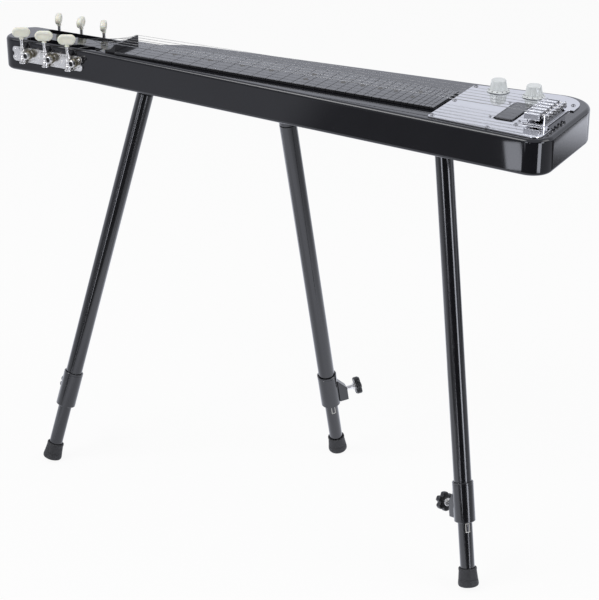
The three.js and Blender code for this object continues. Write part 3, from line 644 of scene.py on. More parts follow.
def draw_strip(name, stations):
    (x, near, far), *others = stations
    next_x, next_near, next_far = others[0]
    calm()
    bpy.ops.mesh.primitive_plane_add(size=1)
    piece = bpy.context.object
    piece.scale = ((next_x - x) * MM, (far - near) * MM, 1)
    piece.location = ((x + next_x) / 2 * MM, (near + far) / 2 * MM, 0)
    named(name)
    open_mesh(piece)
    here, low, high = next_x, near, far
    for i, (next_x, next_near, next_far) in enumerate(others):
        if i > 0:
            pick("EDGE", lambda c, n: abs(c.x - here) < 0.01 and abs(n.y) > 0.9)
            raise_faces(x=next_x - here)
            here = next_x
        pick("VERT", lambda c, n: abs(c.x - here) < 0.01 and abs(c.y - low) < 0.01)
        slide(y=next_near - low)
        pick("VERT", lambda c, n: abs(c.x - here) < 0.01 and abs(c.y - high) < 0.01)
        slide(y=next_far - high)
        low, high = next_near, next_far
    bpy.ops.mesh.select_all(action="SELECT")
    bpy.ops.mesh.normals_make_consistent(inside=False)
    return piece


def round_corner(x, y, radius, segments=14):
    """Round one corner of an open flat outline."""
    pick("VERT", lambda c, n: math.hypot(c.x - x, c.y - y) < 0.05)
    bpy.ops.mesh.bevel(offset=radius * MM, segments=segments, affect="VERTICES")


def thicken(piece, depth):
    """Give an open outline its thickness, downwards."""
    bpy.ops.mesh.select_all(action="SELECT")
    raise_faces(z=-depth)
    return close_mesh(piece)


def make_board_of_wood():
    body = draw_strip("body_board", STATIONS)
    round_corner(HEAD_END, HEAD_NEAR, 20)
    round_corner(HEAD_END, HEAD_FAR, 20)
    round_corner(TAIL_END, TAIL_NEAR, 28, 18)
    round_corner(TAIL_END, TAIL_FAR, 50, 24)
    thicken(body, BODY_DEPTH)
    return round_edges(body, on_rim, 4.5, 6)


body_board = make_board_of_wood()
print("body board has", len(body_board.data.polygons), "faces")

# %% [markdown]
# A router then opens the board. Two slots with round ends take the strings down to their posts,
# and a sloping cut lets the strings out of each slot. There is a pocket under the pickup and
# one under the knobs. Each opening is a solid of its own, and a boolean takes it out of the body.

# %% Slots and pockets
SLOT_WIDTH, SLOT_LENGTH, SLOT_TO_NUT = 15.5, 110, 36
NEAR_SLOT, FAR_SLOT = -28.5, 13


def slot_cutter(low):
    start = -SLOT_TO_NUT - SLOT_LENGTH
    cutter = block("slot_cutter", (start, low, -50), (-SLOT_TO_NUT, low + SLOT_WIDTH, 5))
    return round_edges(cutter, upright, SLOT_WIDTH / 2 - 0.3, 10)


def ramp_cutter(low):
    """A wedge whose floor rises to the top of the body towards the nut."""
    cutter = block("ramp_cutter", (-SLOT_TO_NUT - 7, low + 1.9, -7.3),
                   (-SLOT_TO_NUT + 9, low + SLOT_WIDTH - 1.9, 3))
    open_mesh(cutter)
    pick("EDGE", lambda c, n: c.x > -SLOT_TO_NUT + 8 and c.z < -7)
    slide(z=7.3)
    return close_mesh(cutter)


PICKUP_START, PICKUP_MIDDLE = 540.3, -4.3
pocket = block("pocket", (PICKUP_START - 2.3, PICKUP_MIDDLE - 34.3, -18.3),
               (PICKUP_START + 23.8, PICKUP_MIDDLE + 34.3, 5))
knob_pocket = block("knob_pocket", (490, 47.5, -30), (563, 74.5, 5))
cut_away(body_board, slot_cutter(NEAR_SLOT), slot_cutter(FAR_SLOT), ramp_cutter(NEAR_SLOT),
         ramp_cutter(FAR_SLOT), pocket, knob_pocket)
print("body has", len(body_board.data.polygons), "faces after routing")

# %% [markdown]
# Each string post crosses the head in a bore of its own, and the jack has one in the far edge.
# The table holds what differs from tuner to tuner, in mm and degrees: its side, where its worm
# stands along the head, how far its button is turned, its string, and where that is wound.

# %% Bores for the posts and the jack
def bore(radius, low, high, sides=32):
    return turned("bore", [(radius, low), (radius, high)], sides)


TUNERS = [
    {"number": 1, "side": NEAR, "worm": -68, "turn": 28, "string": 1, "wind": -17.805},
    {"number": 2, "side": NEAR, "worm": -105.3, "turn": 28, "string": 2, "wind": -21.68},
    {"number": 3, "side": NEAR, "worm": -142.6, "turn": 32, "string": 3, "wind": -25.555},
    {"number": 4, "side": FAR, "worm": -64.5, "turn": 120, "string": 6, "wind": 22.3},
    {"number": 5, "side": FAR, "worm": -101.8, "turn": 112, "string": 5, "wind": 21.68},
    {"number": 6, "side": FAR, "worm": -139.1, "turn": 120, "string": 4, "wind": 25.4},
]
POST_LEVEL, WORM_TO_POST, ISLAND = -17, 10, 13


def face_of(side):
    """Y of the head's side face."""
    return HEAD_NEAR if side == NEAR else HEAD_FAR


def roller_length(side):
    """From the head's side face to the middle of the island between the slots."""
    return abs(face_of(side) - side * ISLAND)


for tuner in TUNERS:
    side = tuner["side"]
    hole = settle(bore(5.3, -7, roller_length(side) + 9), aim(
        Vector((tuner["worm"] + WORM_TO_POST, face_of(side), POST_LEVEL)) * MM, (0, -side, 0)))
    cut_away(body_board, hole)

JACK = Vector((525.5, 89.646, -22))
JACK_OUT = Vector((-0.0799, 0.9968, 0))
cut_away(body_board, settle(bore(6.8, -24, 3), aim(JACK * MM, JACK_OUT)))
print("bores for", len(TUNERS), "posts and the jack")

# %% [markdown]
# The three legs lean outwards, each in a direction of its own, and so do the bores for their
# sockets. How far down a leg its foot and its sleeve come follows from the height of the body
# over the floor and from how far the leg leans.

# %% Bores for the legs
UNDERSIDE = -BODY_DEPTH
STAND_HEIGHT, UPPER_TUBE, LOWER_TUBE = 526.5, 11.1, 9.05
FOOT_RADIUS, FOOT_ROUND, FOOT_FLAT, FOOT_HEIGHT, BARE_TUBE = 13, 4, 0.6, 24, 59.2
SLEEVE_LENGTH, SLEEVE_GRIP = 50, 14
MARK_SIDE = Vector((0.7, -0.71, 0))
LEGS = []
for number, along, across, tilt in ((1, 32.41, -2.422, 17.3), (2, 257.218, -26.815, 12.2),
                                    (3, 471.125, -24.22, 17)):
    lean = math.radians(tilt)
    edge_drop = (FOOT_RADIUS - FOOT_ROUND) * math.sin(lean) + FOOT_ROUND
    foot_base = (STAND_HEIGHT + FOOT_FLAT - edge_drop) / math.cos(lean) + FOOT_ROUND
    LEGS.append({"number": number, "top": Vector((along, across, UNDERSIDE)),
                 "up": -Vector(joints[f"leg_{number}_extend"]["axis"]),
                 "screw": Vector(joints[f"clamp_{number}_turn"]["axis"]),
                 "mark": MARK_SIDE if number > 1 else -MARK_SIDE,
                 "socket_end": -(7.3 + UPPER_TUBE * math.sin(lean)) / math.cos(lean),
                 "foot_base": -foot_base,
                 "sleeve_end": FOOT_HEIGHT + BARE_TUBE - foot_base})
    cut_away(body_board, settle(bore(10.3, -16, 16.3), aim(
        LEGS[-1]["top"] * MM, LEGS[-1]["up"])))
settle(body_board)
dress(body_board, lacquer, "guitar", "black_lacquer", "body", angle=35)
print("body has", len(body_board.data.polygons), "faces with all its bores")

# %% [markdown]
# The legs are steel tubes in black enamel. The upper tube screws into a socket under the body,
# enamelled too, and the lower tube slides in it. Enamel has a little orange peel, and rubs
# duller where hands hold it. The screws are worn steel, and the marks on the legs white paint.

# %% Finishes of the legs
enamel = clouded("black_enamel", (25, 3), (0.003, 0.003, 0.004), (0.007, 0.007, 0.009), 0.1, 0.12,
                 (1.6, 1, 0.05, 0.05), Coat_Weight=0.7, Coat_Roughness=0.05)
nickel = clouded("satin_nickel", (7, 3), (0.88, 0.87, 0.85), (0.68, 0.67, 0.65), 0.16, 0.22,
                 (0.7, 1, 0.06, 0.05), Metallic=1.0)
screw_steel = clouded("screw_steel", (1.5, 3), (0.36, 0.36, 0.37), (0.2, 0.2, 0.21), 0.2, 0.2,
                      (0.5, 1, 0.08, 0.03), Metallic=1.0)
paint = clouded("white_paint", (2, 3), (0.8, 0.8, 0.79), (0.62, 0.62, 0.6), 0.35, 0.2)
rubber = clouded("black_rubber", (9, 4), (0.012, 0.012, 0.013), (0.035, 0.035, 0.037), 0.5, 0.2,
                 (0.8, 2, 0.2, 0.1))
black_plastic = clouded("black_plastic", (3, 3), (0.009, 0.009, 0.010), (0.016, 0.016, 0.018),
                        0.24, 0.14, (0.5, 2, 0.08, 0.05))

# %% [markdown]
# Each leg is made round its own axis, with the origin where the axis meets the underside, and
# then stood in place. The socket is a flange and a boss that leans with the leg. The boss is
# turned a little long and sliced off level inside the flange.

# %% Leg sockets
def stand_leg(piece, leg, side=None):
    """Stand a piece of a leg in place, with its X axis along a side if there is one."""
    return settle(piece, GUITAR @ aim(leg["top"] * MM, leg["up"], side))


def make_socket(leg):
    flange = turned("leg_flange",
                    [(16.6, -0.3), (17, -0.7), (17, -2.7), (16.4, -3.3), (12.4, -3.3)])
    settle(flange, GUITAR @ Matrix.Translation(leg["top"] * MM))
    end = leg["socket_end"]
    boss = turned(f"leg_socket_body_{leg['number']}",
                  [(4.9, end + 5), (4.9, end), (10.6, end), (UPPER_TUBE, end + 0.6),
                   (UPPER_TUBE, -2)])
    stand_leg(boss, leg)
    slice_off(boss, spot(0, 0, UNDERSIDE - 1), (0, 0, 1))
    fuse(boss, flange)
    dress(boss, enamel, "guitar", "black_tube", f"leg_socket_{leg['number']}")


# %% [markdown]
# Both tubes are profiles turned about the axis. The upper one is open below, where the lower
# one slides up into it, and its wall shows at the end. The lower one ends inside the foot.

# %% Tubes
def make_tubes(leg):
    number, start = leg["number"], leg["socket_end"] - 0.3
    end, bottom = leg["sleeve_end"] + SLEEVE_LENGTH - SLEEVE_GRIP, leg["foot_base"] + 8.3
    upper = turned(f"upper_tube_body_{number}",
                   [(4.7, 14 + start), (4.7, start), (10.3, start), (UPPER_TUBE, start - 0.8),
                    (UPPER_TUBE, end), (9.4, end), (9.4, end + 290)], 64)
    stand_leg(upper, leg)
    dress(upper, enamel, "guitar", "black_tube", f"upper_tube_{number}")
    lower = turned(f"lower_tube_body_{number}",
                   [(8.2, bottom), (LOWER_TUBE, bottom), (LOWER_TUBE, bottom + 329.4),
                    (8.5, bottom + 330), (7.8, bottom + 330), (7.8, bottom + 300)], 64)
    stand_leg(lower, leg)
    dress(lower, enamel, f"lower_leg_{number}", "black_tube", f"lower_tube_{number}")


# %% [markdown]
# The sleeve grips the end of the upper tube and lets the lower one through. Its clamp screw
# turns in a lug, a block whose upper edge slopes away, and both are cast in one piece.

# %% Clamp sleeves
def make_sleeve(leg):
    """The sleeve with a rolled rim, and its lug: a cube whose outer top edge is slid down."""
    number, low, top = leg["number"], leg["sleeve_end"], leg["sleeve_end"] + SLEEVE_LENGTH
    sleeve = turned(f"clamp_sleeve_body_{number}",
                    [(9.5, low + 30), (9.5, low + 0.4), (12.7, low), (13.25, low + 0.6),
                     (13.25, top - 3.2), (12.9, top - 2.9), (12.9, top - 2.3), (13.25, top - 2),
                     (13.25, top - 0.5), (12.8, top), (11.9, top), (11.5, top - 0.4),
                     (11.5, top - 13)], 64)
    lug = block("lug", (12.2, -6, top - 48.5), (25, 6, top - 13))
    open_mesh(lug)
    pick("EDGE", lambda c, n: abs(n.y) > 0.9 and c.x > 24 and c.z > top - 14)
    slide(z=-16)
    close_mesh(lug)
    soften(lug, 0.9)
    cut_away(lug, settle(bore(3.4, 20, 30), aim(Vector((0, 0, top - 33)) * MM, (1, 0, 0))))
    fuse(sleeve, lug)
    stand_leg(sleeve, leg, leg["screw"])
    dress(sleeve, enamel, "guitar", "black_tube", f"clamp_sleeve_{number}")


# %% [markdown]
# Just below the sleeve the lower tube has a mark where the height of the leg is read off: a
# pale frame round a black field, each a thin patch that follows the tube.

# %% Index marks, and the legs put together
def make_index_mark(leg, name, finish, radius, half, low, high):
    """A thin patch on the lower tube, cut out of a disc by three planes."""
    patch = turned(f"{name}_{leg['number']}", [(radius, low), (radius, high)], 96)
    slice_off(patch, Vector((8.2, 0, 0)) * MM, (-1, 0, 0))
    for side in (1, -1):
        slice_off(patch, Vector((0, side * half, 0)) * MM, (0, side, 0))
    stand_leg(patch, leg, leg["mark"])
    dress(patch, finish, f"lower_leg_{leg['number']}", "black_tube", weighted=False)


for leg in LEGS:
    make_socket(leg)
    make_tubes(leg)
    make_sleeve(leg)
    mark_top = leg["sleeve_end"] - 1.5
    make_index_mark(leg, "index_frame", paint, 9.12, 2.8, mark_top - 11.5, mark_top)
    make_index_mark(leg, "index_field", enamel, 9.2, 1.9, mark_top - 10.4, mark_top - 1.1)
    print("leg", leg["number"], "sleeve ends", round(-leg["sleeve_end"], 1), "mm down the axis")

# %% [markdown]
# The clamp screw is a steel rod moulded into a black star knob. The star starts as a disc: the
# corners between its six lobes are drawn in, the rim is rounded and the whole is subdivided.
# The foot is a flared rubber cup with a lip, cut flat where it stands on the floor.

# %% Clamp screws and feet
def make_star():
    """The star knob on the Z axis, from 37 to 45 mm out."""
    star = turned("star", [(12.5, 37), (12.5, 45)], 24)
    open_mesh(star)
    for lobe in range(6):
        angle = (lobe + 0.5) * math.pi / 3
        way = Vector((math.cos(angle), math.sin(angle), 0))
        pick("VERT", lambda c, n: Vector((c.x, c.y, 0)).normalized().dot(way) > 0.985)
        slide(x=-3.4 * way.x, y=-3.4 * way.y)
    pick("FACE", lambda c, n: abs(n.z) > 0.9)
    bpy.ops.mesh.inset(thickness=3 * MM)
    pick("FACE", lambda c, n: n.z > 0.9 and math.hypot(c.x, c.y) < 0.5)
    raise_faces(z=-0.8)
    close_mesh(star)
    soften(star, 1.4, 2, 50)
    modify(star, "SUBSURF", levels=1, render_levels=1)
    return star


star_pattern = make_star()


def make_clamp_screw(leg):
    number = leg["number"]
    place = aim(Vector(joints[f"clamp_{number}_turn"]["pos_m"]), leg["screw"], leg["up"])
    star = copied(star_pattern, f"clamp_star_{number}")
    settle(star, place)
    dress(star, black_plastic, f"clamp_{number}", "black_plastic", angle=60)
    rod = turned(f"clamp_rod_{number}", [(2.2, 9.4), (3, 10.2), (3, 40)], 32)
    collar = turned("collar", [(4.6, 34.4), (5, 34.8), (5, 37.4)], 32)
    fuse(rod, collar)
    settle(rod, place)
    dress(rod, nickel, f"clamp_{number}", "nickel_plating", f"clamp_screw_{number}")


def make_foot(leg):
    number, base = leg["number"], leg["foot_base"]
    foot = turned(f"rubber_foot_{number}",
                  [(8, base), (9, base), (10.6, base + 0.35), (12, base + 1.1), (12.7, base + 2.2),
                   (13, base + 4), (12.4, base + 9), (11.9, base + 9.4), (11.9, base + 10),
                   (12.2, base + 10.4), (11.2, base + 20.6), (11.5, base + 21.2),
                   (11.5, base + 23.4), (11.1, base + 24), (9.6, base + 24), (9.35, base + 23.6),
                   (9.35, base + 8)], 64)
    stand_leg(foot, leg)
    slice_off(foot, (0, 0, 0), (0, 0, -1))
    dress(foot, rubber, f"lower_leg_{number}", "black_rubber", f"foot_{number}")


for leg in LEGS:
    make_clamp_screw(leg)
    make_foot(leg)
bpy.data.objects.remove(star_pattern)
print("three clamp screws and three feet")

# %% [markdown]
# The fretboard is a flat black board with its fret lines printed on it, because a steel bar
# never presses the strings down to it. The lines are at the places where frets would be: each
# one leaves a share of 2 to the power -1/12 of the string. The finish counts semitones from X.

# %% Board finish
SCALE_LENGTH = 571.5


def make_board_print():
    board = Finish("printed_board", (0.012, 0.012, 0.014), Specular_IOR_Level=0.15,
                   Coat_Roughness=0.06)
    along = board.place().part("X") - nut_edge.x / MM
    rest = along.math("MAXIMUM", 1 - along / SCALE_LENGTH, 0.05)
    semitone = rest.math("LOGARITHM", rest, 2.0) * -12
    off_line = semitone.math("ABSOLUTE", semitone - semitone.math("ROUND", semitone))
    line = off_line * rest * (SCALE_LENGTH * math.log(2) / 12) < 0.45
    smudge = board.noise(18)
    ground = board.mixed(smudge, (0.010, 0.010, 0.012), (0.018, 0.018, 0.021))
    board.feed("Base Color", board.mixed(line, ground, (0.004, 0.004, 0.004)))
    board.feed("Roughness", smudge * 0.12 + 0.12 + line * 0.4)
    board.feed("Coat Weight", 0.9 - line * 0.85)
    board.relief(board.noise(0.9, 2) * 0.3 - line, 0.25, 0.12)
    return board


board_print = make_board_print()

# %% [markdown]
# The board is a plane whose far end is slid wider, given its thickness and softly rounded. Small
# diamonds mark the usual places between the lines, two of them at the octave. They are raised
# a tenth of a millimetre, as thick ink is.

# %% Fretboard and its markers
BOARD_TOP, BOARD_START, BOARD_END = 3.7, 0.8, 464
board = draw_strip("board_of_frets", [(BOARD_START, -30, 27), (BOARD_END, -39.5, 31.5)])
thicken(board, 3.4)
soften(board, 0.5)
settle(board, Matrix.Translation(spot(0, 0, BOARD_TOP)))
dress(board, board_print, "guitar", "board_print", "fretboard")


def fret_place(number):
    return SCALE_LENGTH * (1 - 2 ** (-number / 12))


def make_markers():
    ink = clouded("marker_ink", (2, 3), (0.03, 0.027, 0.02), (0.085, 0.075, 0.055), 0.25, 0.2)
    marks = []
    for number in (3, 5, 7, 9, 12, 15, 17, 19, 21, 24):
        low, high = fret_place(number - 1), fret_place(number)
        middle = (low + high) / 2
        line = -1.5 - 2.5 * middle / BOARD_END
        for shift in ((-11, 11) if number in (12, 24) else (0,)):
            calm()
            bpy.ops.mesh.primitive_circle_add(vertices=4, radius=4.2 * MM, fill_type="NGON")
            mark = bpy.context.object
            mark.scale = (min(1, (high - low) / 13), 1, 1)
            mark.location = Vector((middle, line + shift, 0)) * MM
            named("marker")
            open_mesh(mark)
            bpy.ops.mesh.select_all(action="SELECT")
            raise_faces(z=0.12)
            close_mesh(mark)
            marks.append(mark)
    markers = settle(gathered("board_markers", marks), Matrix.Translation(spot(0, 0, BOARD_TOP)))
    return dress(markers, ink, "guitar", "board_print", weighted=False)


markers = make_markers()
print("board with", len(markers.data.polygons), "marker faces")

# %% [markdown]
# Round-head screws hold the board, the plates and the tuners. One is turned, a cross is cut
# into its head with two thin blocks, and copies are set wherever the instrument has a screw.

# %% Screws
def make_screw():
    """A round-head screw that stands on Z 0, with a head of radius 2 mm."""
    screw = turned("screw", [(1.9, -0.6), (2, 0), (1.95, 0.35), (1.65, 0.8), (1.1, 1.1),
                             (0.4, 1.2)], 20)
    bars = [block("bar", (-1.2, -0.22, 0.55), (1.2, 0.22, 2)),
            block("bar", (-0.22, -1.2, 0.55), (0.22, 1.2, 2))]
    return cut_away(screw, *bars)


screw_pattern = make_screw()


def set_screws(name, places, finish, size, direction=(0, 0, 1)):
    """Copies of the screw at places in mm, as one piece."""
    copies = []
    for i, place in enumerate(places):
        screw = copied(screw_pattern, f"{name}_{i}")
        twist = Matrix.Rotation(i * 0.7, 4, "Z") @ Matrix.Scale(size, 4)
        copies.append(settle(screw, aim(spot(*place), direction) @ twist))
    return dress(gathered(name, copies), finish, "guitar", "nickel_plating", weighted=False)


board_screws = [(18, -27.2), (104.9, -28.7), (156.3, -29.8), (222.9, -31.2), (294.5, -32.6),
                (375.2, -34.3), (458.7, -36), (106, 24.9), (156.9, 25.6), (223.1, 26.2),
                (295.4, 27), (375.8, 27.8), (458.7, 28.4)]
set_screws("board_screws", [(x, y, BOARD_TOP) for x, y in board_screws], screw_steel, 0.66)
print(len(board_screws), "board screws")

# %% [markdown]
# The nut is a black wedge: an upright front that carries the strings, a narrow land on top, and
# a hollow ramp that falls back to a low heel. It starts as the upright block, and its back face
# is extruded in short steps while its height shrinks along the curve.

# %% Nut
def make_nut():
    land_end, back, top, heel = -1.5, -16.5, 12, 3.5
    nut = block("nut_wedge", (land_end, -27, 0.3), (0.5, 27, top))
    open_mesh(nut)
    pick("FACE", lambda c, n: n.x < -0.9)
    x, height = land_end, top
    for step in range(1, 10):
        t = step / 9
        next_x = (1 - t) ** 2 * land_end + 2 * t * (1 - t) * -5.75 + t * t * back
        next_height = (1 - t) ** 2 * top + 2 * t * (1 - t) * heel + t * t * heel
        raise_faces(x=next_x - x)
        ratio = (next_height - 0.3) / (height - 0.3)
        bpy.ops.transform.resize(value=(1, 1, ratio), center_override=(0, 0, 0.3 * MM))
        x, height = next_x, next_height
    close_mesh(nut)
    soften(nut, 0.35, 2, 50)
    settle(nut)
    return dress(nut, black_plastic, "guitar", "black_plastic", "nut", angle=30)


make_nut()
print("nut is carved")

# %% [markdown]
# Chrome is a bright mirror with very fine wiping marks. The control plate is sheet metal: a
# plane with its four corners slid to the body's taper, corners rounded, cut out round the
# pickup, the bridge and the two controls, and given its small thickness.

# %% Control plate
chrome = clouded("bright_chrome", (14, 3), (0.8, 0.8, 0.81), (0.7, 0.7, 0.72), 0.03, 0.08,
                 (30, 1, 0.08, 0.1), Metallic=1.0)
PLATE_TOP, PLATE_START = 1.8, 467.5
WALL_START, WALL_END = 601.5, 603.5
KNOB_LINE, KNOBS = 61, {"volume": 503.5, "tone": 549.5}


def make_control_plate():
    plate = draw_strip("chrome_plate", [(PLATE_START, -66.2, 71.6), (613.5, -79.5, 87.1)])
    pick("VERT", lambda c, n: c.x > 600 and c.y > 0)
    slide(x=-3.5, y=-0.3)
    round_corner(PLATE_START, -66.2, 4, 6)
    round_corner(PLATE_START, 71.6, 4, 6)
    round_corner(613.5, -79.5, 13, 12)
    round_corner(610, 86.8, 38, 20)
    thicken(plate, 1.5)
    opening = block("opening", (PICKUP_START - 2.3, PICKUP_MIDDLE - 34.3, -4),
                    (PICKUP_START + 23.8, PICKUP_MIDDLE + 34.3, 4))
    round_edges(opening, upright, 4.3, 8)
    notch = block("notch", (WALL_END + 1.3, -36, -4), (630, 34, 4))
    open_mesh(notch)
    pick("VERT", lambda c, n: c.x > 620 and c.y < 0)
    slide(y=-16)
    close_mesh(notch)
    round_edges(notch, lambda c, n: abs(n.z) > 0.9 and c.x < 620, 4, 6)
    holes = [settle(bore(5.3, -4, 4), Matrix.Translation(Vector((x, KNOB_LINE, 0)) * MM))
             for x in KNOBS.values()]
    cut_away(plate, opening, notch, *holes)
    soften(plate, 0.35, 2, 60)
    settle(plate, Matrix.Translation(spot(0, 0, PLATE_TOP)))
    return dress(plate, chrome, "guitar", "chrome_plating", "control_plate", angle=30)


make_control_plate()
plate_screws = [(471.8, -60.5), (471.8, 3), (471.8, 66), (546, -71), (607, -60), (603.5, 52),
                (571.5, -47)]
set_screws("plate_screws", [(x, y, PLATE_TOP) for x, y in plate_screws], screw_steel, 1.4)
pickup_screws = [(533.6, -33.5), (533.6, 26), (570.2, -33.5)]
set_screws("pickup_screws", [(x, y, PLATE_TOP) for x, y in pickup_screws], screw_steel, 0.9)
print("plate with", len(plate_screws) + len(pickup_screws), "screws")

# %% [markdown]
# The pickup is a magnet and a coil under a glossy black cover. The cover is a block with
# rounded corners, a soft upper rim and a slightly sunken middle, as a moulded cover has.

# %% Pickup cover
PICKUP_WIDTH, PICKUP_HALF, PICKUP_TOP = 22.5, 33, 3.4


def on_cover_rim(c, n):
    """Whether an edge of the cover is one of the outer ones round its top."""
    outer = (abs(c.y - PICKUP_MIDDLE) > PICKUP_HALF - 0.8 or c.x < PICKUP_START + 0.7
             or c.x > PICKUP_START + PICKUP_WIDTH - 0.7)
    return c.z > PICKUP_TOP - 0.05 and abs(n.z) < 0.1 and outer


def make_pickup():
    gloss = clouded("pickup_gloss", (8, 3), (0.01, 0.01, 0.012), (0.018, 0.018, 0.021), 0.08,
                    0.14, (20, 1, 0.06, 0.1), Specular_IOR_Level=0.2, Coat_Weight=0.6,
                    Coat_Roughness=0.04)
    cover = block("pickup_cover", (PICKUP_START, PICKUP_MIDDLE - PICKUP_HALF, -18),
                  (PICKUP_START + PICKUP_WIDTH, PICKUP_MIDDLE + PICKUP_HALF, PICKUP_TOP))
    round_edges(cover, upright, 3, 8)
    open_mesh(cover)
    pick("FACE", lambda c, n: n.z > 0.9)
    bpy.ops.mesh.inset(thickness=1.6 * MM)
    raise_faces(z=-0.12)
    close_mesh(cover)
    round_edges(cover, on_cover_rim, 0.8, 4)
    settle(cover)
    return dress(cover, gloss, "guitar", "black_plastic", "pickup", angle=30)


make_pickup()
print("pickup", PICKUP_WIDTH, "mm wide")

# %% [markdown]
# The bridge is an angle of chromed steel. Its base is a block that is split near the back, and
# the strip behind the split is extruded up into the wall. Six holes in the wall hold the ball
# ends of the strings, and six screws pass through it to pull the saddles back.

# %% Bridge
BRIDGE_MIDDLE, STRING_SPACING = -6, 10.7
HOLE_HEIGHT, SCREW_HEIGHT, SCREW_SHIFT = 10, 12.4, 3.4


def bridge_line(i):
    """Y of string i, 0 on the near side, at the bridge."""
    return BRIDGE_MIDDLE + (i - 2.5) * STRING_SPACING


def make_bridge():
    bridge = block("bridge_angle", (575.5, -39, 2.1), (WALL_END, 27, 3.9))
    open_mesh(bridge)
    bpy.ops.mesh.select_all(action="SELECT")
    bpy.ops.mesh.bisect(plane_co=(WALL_START * MM, 0, 0), plane_no=(1, 0, 0))
    pick("FACE", lambda c, n: n.z > 0.9 and c.x > WALL_START)
    raise_faces(z=15 - 3.9)
    close_mesh(bridge)
    round_edges(bridge, lambda c, n: abs(n.x) > 0.9 and c.z > 14, 2.6, 6)
    holes = []
    for i in range(6):
        for radius, shift, height in ((1.3, 0, HOLE_HEIGHT), (1.05, SCREW_SHIFT, SCREW_HEIGHT)):
            place = Vector((WALL_START - 3, bridge_line(i) + shift, height)) * MM
            holes.append(settle(bore(radius, 0, 8, 20), aim(place, (1, 0, 0))))
    cut_away(bridge, *holes)
    soften(bridge, 0.25, 2, 60)
    settle(bridge)
    return dress(bridge, chrome, "guitar", "chrome_plating", "bridge_plate", angle=30)


make_bridge()
print("bridge with a wall at", WALL_START, "mm")

# %% [markdown]
# Each saddle is a block with a land for its string, a channel behind the land, and two small
# socket screws that set its height. One is modelled at the origin and copied six times. A
# screw with a spring holds it to the wall, and it can slide a little along the strings.

# %% Saddles
SADDLE_FRONT, SADDLE_TOP = 577, 15.3


def make_saddle():
    """A saddle whose string runs along X, with its front at X 0 and its top at Z 0."""
    saddle = block("saddle", (0, -5.1, -8), (19, 5.1, 0))
    soften(saddle, 0.45, 3)
    channel = block("channel", (3.5, -1.2, -6.9), (25, 1.2, 4))
    open_mesh(channel)
    pick("EDGE", lambda c, n: abs(n.y) > 0.9 and c.x < 4 and c.z < -6)
    slide(x=6.9)
    close_mesh(channel)
    sides = [Matrix.Translation(Vector((4, side * 2.75, 0)) * MM) for side in (-1, 1)]
    wells = [settle(bore(1.4, -3.4, 2, 20), side) for side in sides]
    rod_well = settle(bore(1.05, 8, 25, 20), aim(
        Vector((0, SCREW_SHIFT, SCREW_HEIGHT - SADDLE_TOP)) * MM, (1, 0, 0)))
    cut_away(saddle, channel, *wells, rod_well)
    rings = [(0.9, -11.1), (1.3, -10.6), (1.3, -1.1), (1.1, -0.9), (0.65, -0.9), (0.65, -2)]
    return fuse(saddle, *(settle(turned("height_screw", rings, 12), side) for side in sides))


saddle_pattern = make_saddle()
for i in range(6):
    saddle = copied(saddle_pattern, f"saddle_block_shape_{i + 1}",
                    (SADDLE_FRONT, bridge_line(i), SADDLE_TOP))
    settle(saddle)
    dress(saddle, chrome, f"saddle_block_{i + 1}", "chrome_plating", f"saddle_{i + 1}", angle=30)
bpy.data.objects.remove(saddle_pattern)
print("six saddles")

# %% [markdown]
# Strings, springs and threads are wires. A wire is a curve through its points with a round
# section, made a mesh as soon as it is drawn. Straight runs keep sharp bends at their points,
# and coils are given many points along a helix.

# %% Wires
def wire(name, points, radius, sides=3, smooth=False):
    """A wire of a radius in mm through points in mm, as a closed mesh."""
    calm()
    bpy.ops.curve.primitive_bezier_curve_add()
    line = bpy.context.object
    line.name = name
    run = line.data.splines[0]
    run.bezier_points.add(len(points) - len(run.bezier_points))
    for knot, point in zip(run.bezier_points, points):
        knot.co = Vector(point) * MM
        knot.handle_left_type = knot.handle_right_type = "AUTO" if smooth else "VECTOR"
    run.resolution_u = 2 if smooth else 1
    line.data.bevel_depth = radius * MM
    line.data.bevel_resolution = sides
    line.data.use_fill_caps = True
    hold(line)
    bpy.ops.object.convert(target="MESH")
    piece = named(name)
    open_mesh(piece)
    return close_mesh(piece)


def coil(name, radius_at, low, high, turns, thickness, steps=14):
    """A helix about Z, whose radius may change with height."""
    count = round(turns * steps)
    points = []
    for i in range(count + 1):
        height = low + (high - low) * i / count
        angle = 2 * math.pi * i / steps
        reach = radius_at(height)
        points.append((reach * math.cos(angle), reach * math.sin(angle), height))
    return wire(name, points, thickness, 1, smooth=True)


spring_pattern = coil("spring", lambda height: 1.35, 0, 3.6, 5, 0.2)
head_pattern = turned("screw_head", [(1.5, 0), (1.5, 0.9), (1.2, 1.5), (0.5, 1.7)], 20)
cut_away(head_pattern, block("bar", (-1.1, -0.2, 0.9), (1.1, 0.2, 2)),
         block("bar", (-0.2, -1.1, 0.9), (0.2, 1.1, 2)))
rod_pattern = turned("screw_rod", [(0.6, -15), (0.85, -14.6), (0.85, 0.2)], 16)


def make_back_screws():
    parts = []
    for i in range(6):
        line = bridge_line(i) + SCREW_SHIFT
        wall = aim(spot(WALL_END, line, SCREW_HEIGHT), (1, 0, 0))
        spring = aim(spot(WALL_START - 3.7, line, SCREW_HEIGHT), (1, 0, 0))
        parts.append(settle(copied(head_pattern, "head"), wall))
        parts.append(settle(copied(rod_pattern, "rod"), wall))
        parts.append(settle(copied(spring_pattern, "coil"), spring))
    dress(gathered("saddle_screws", parts), nickel, "guitar", "nickel_plating", weighted=False)
    for pattern in (head_pattern, rod_pattern, spring_pattern):
        bpy.data.objects.remove(pattern)


make_back_screws()
print("six screws with springs")

# %% [markdown]
# Six strings run from their posts over the nut and the saddles to ball ends behind the wall.
# The three thick ones are wound with fine wire, which shows as a tight ribbing along them, and
# the thin ones are plain. Each string takes three turns round its post.

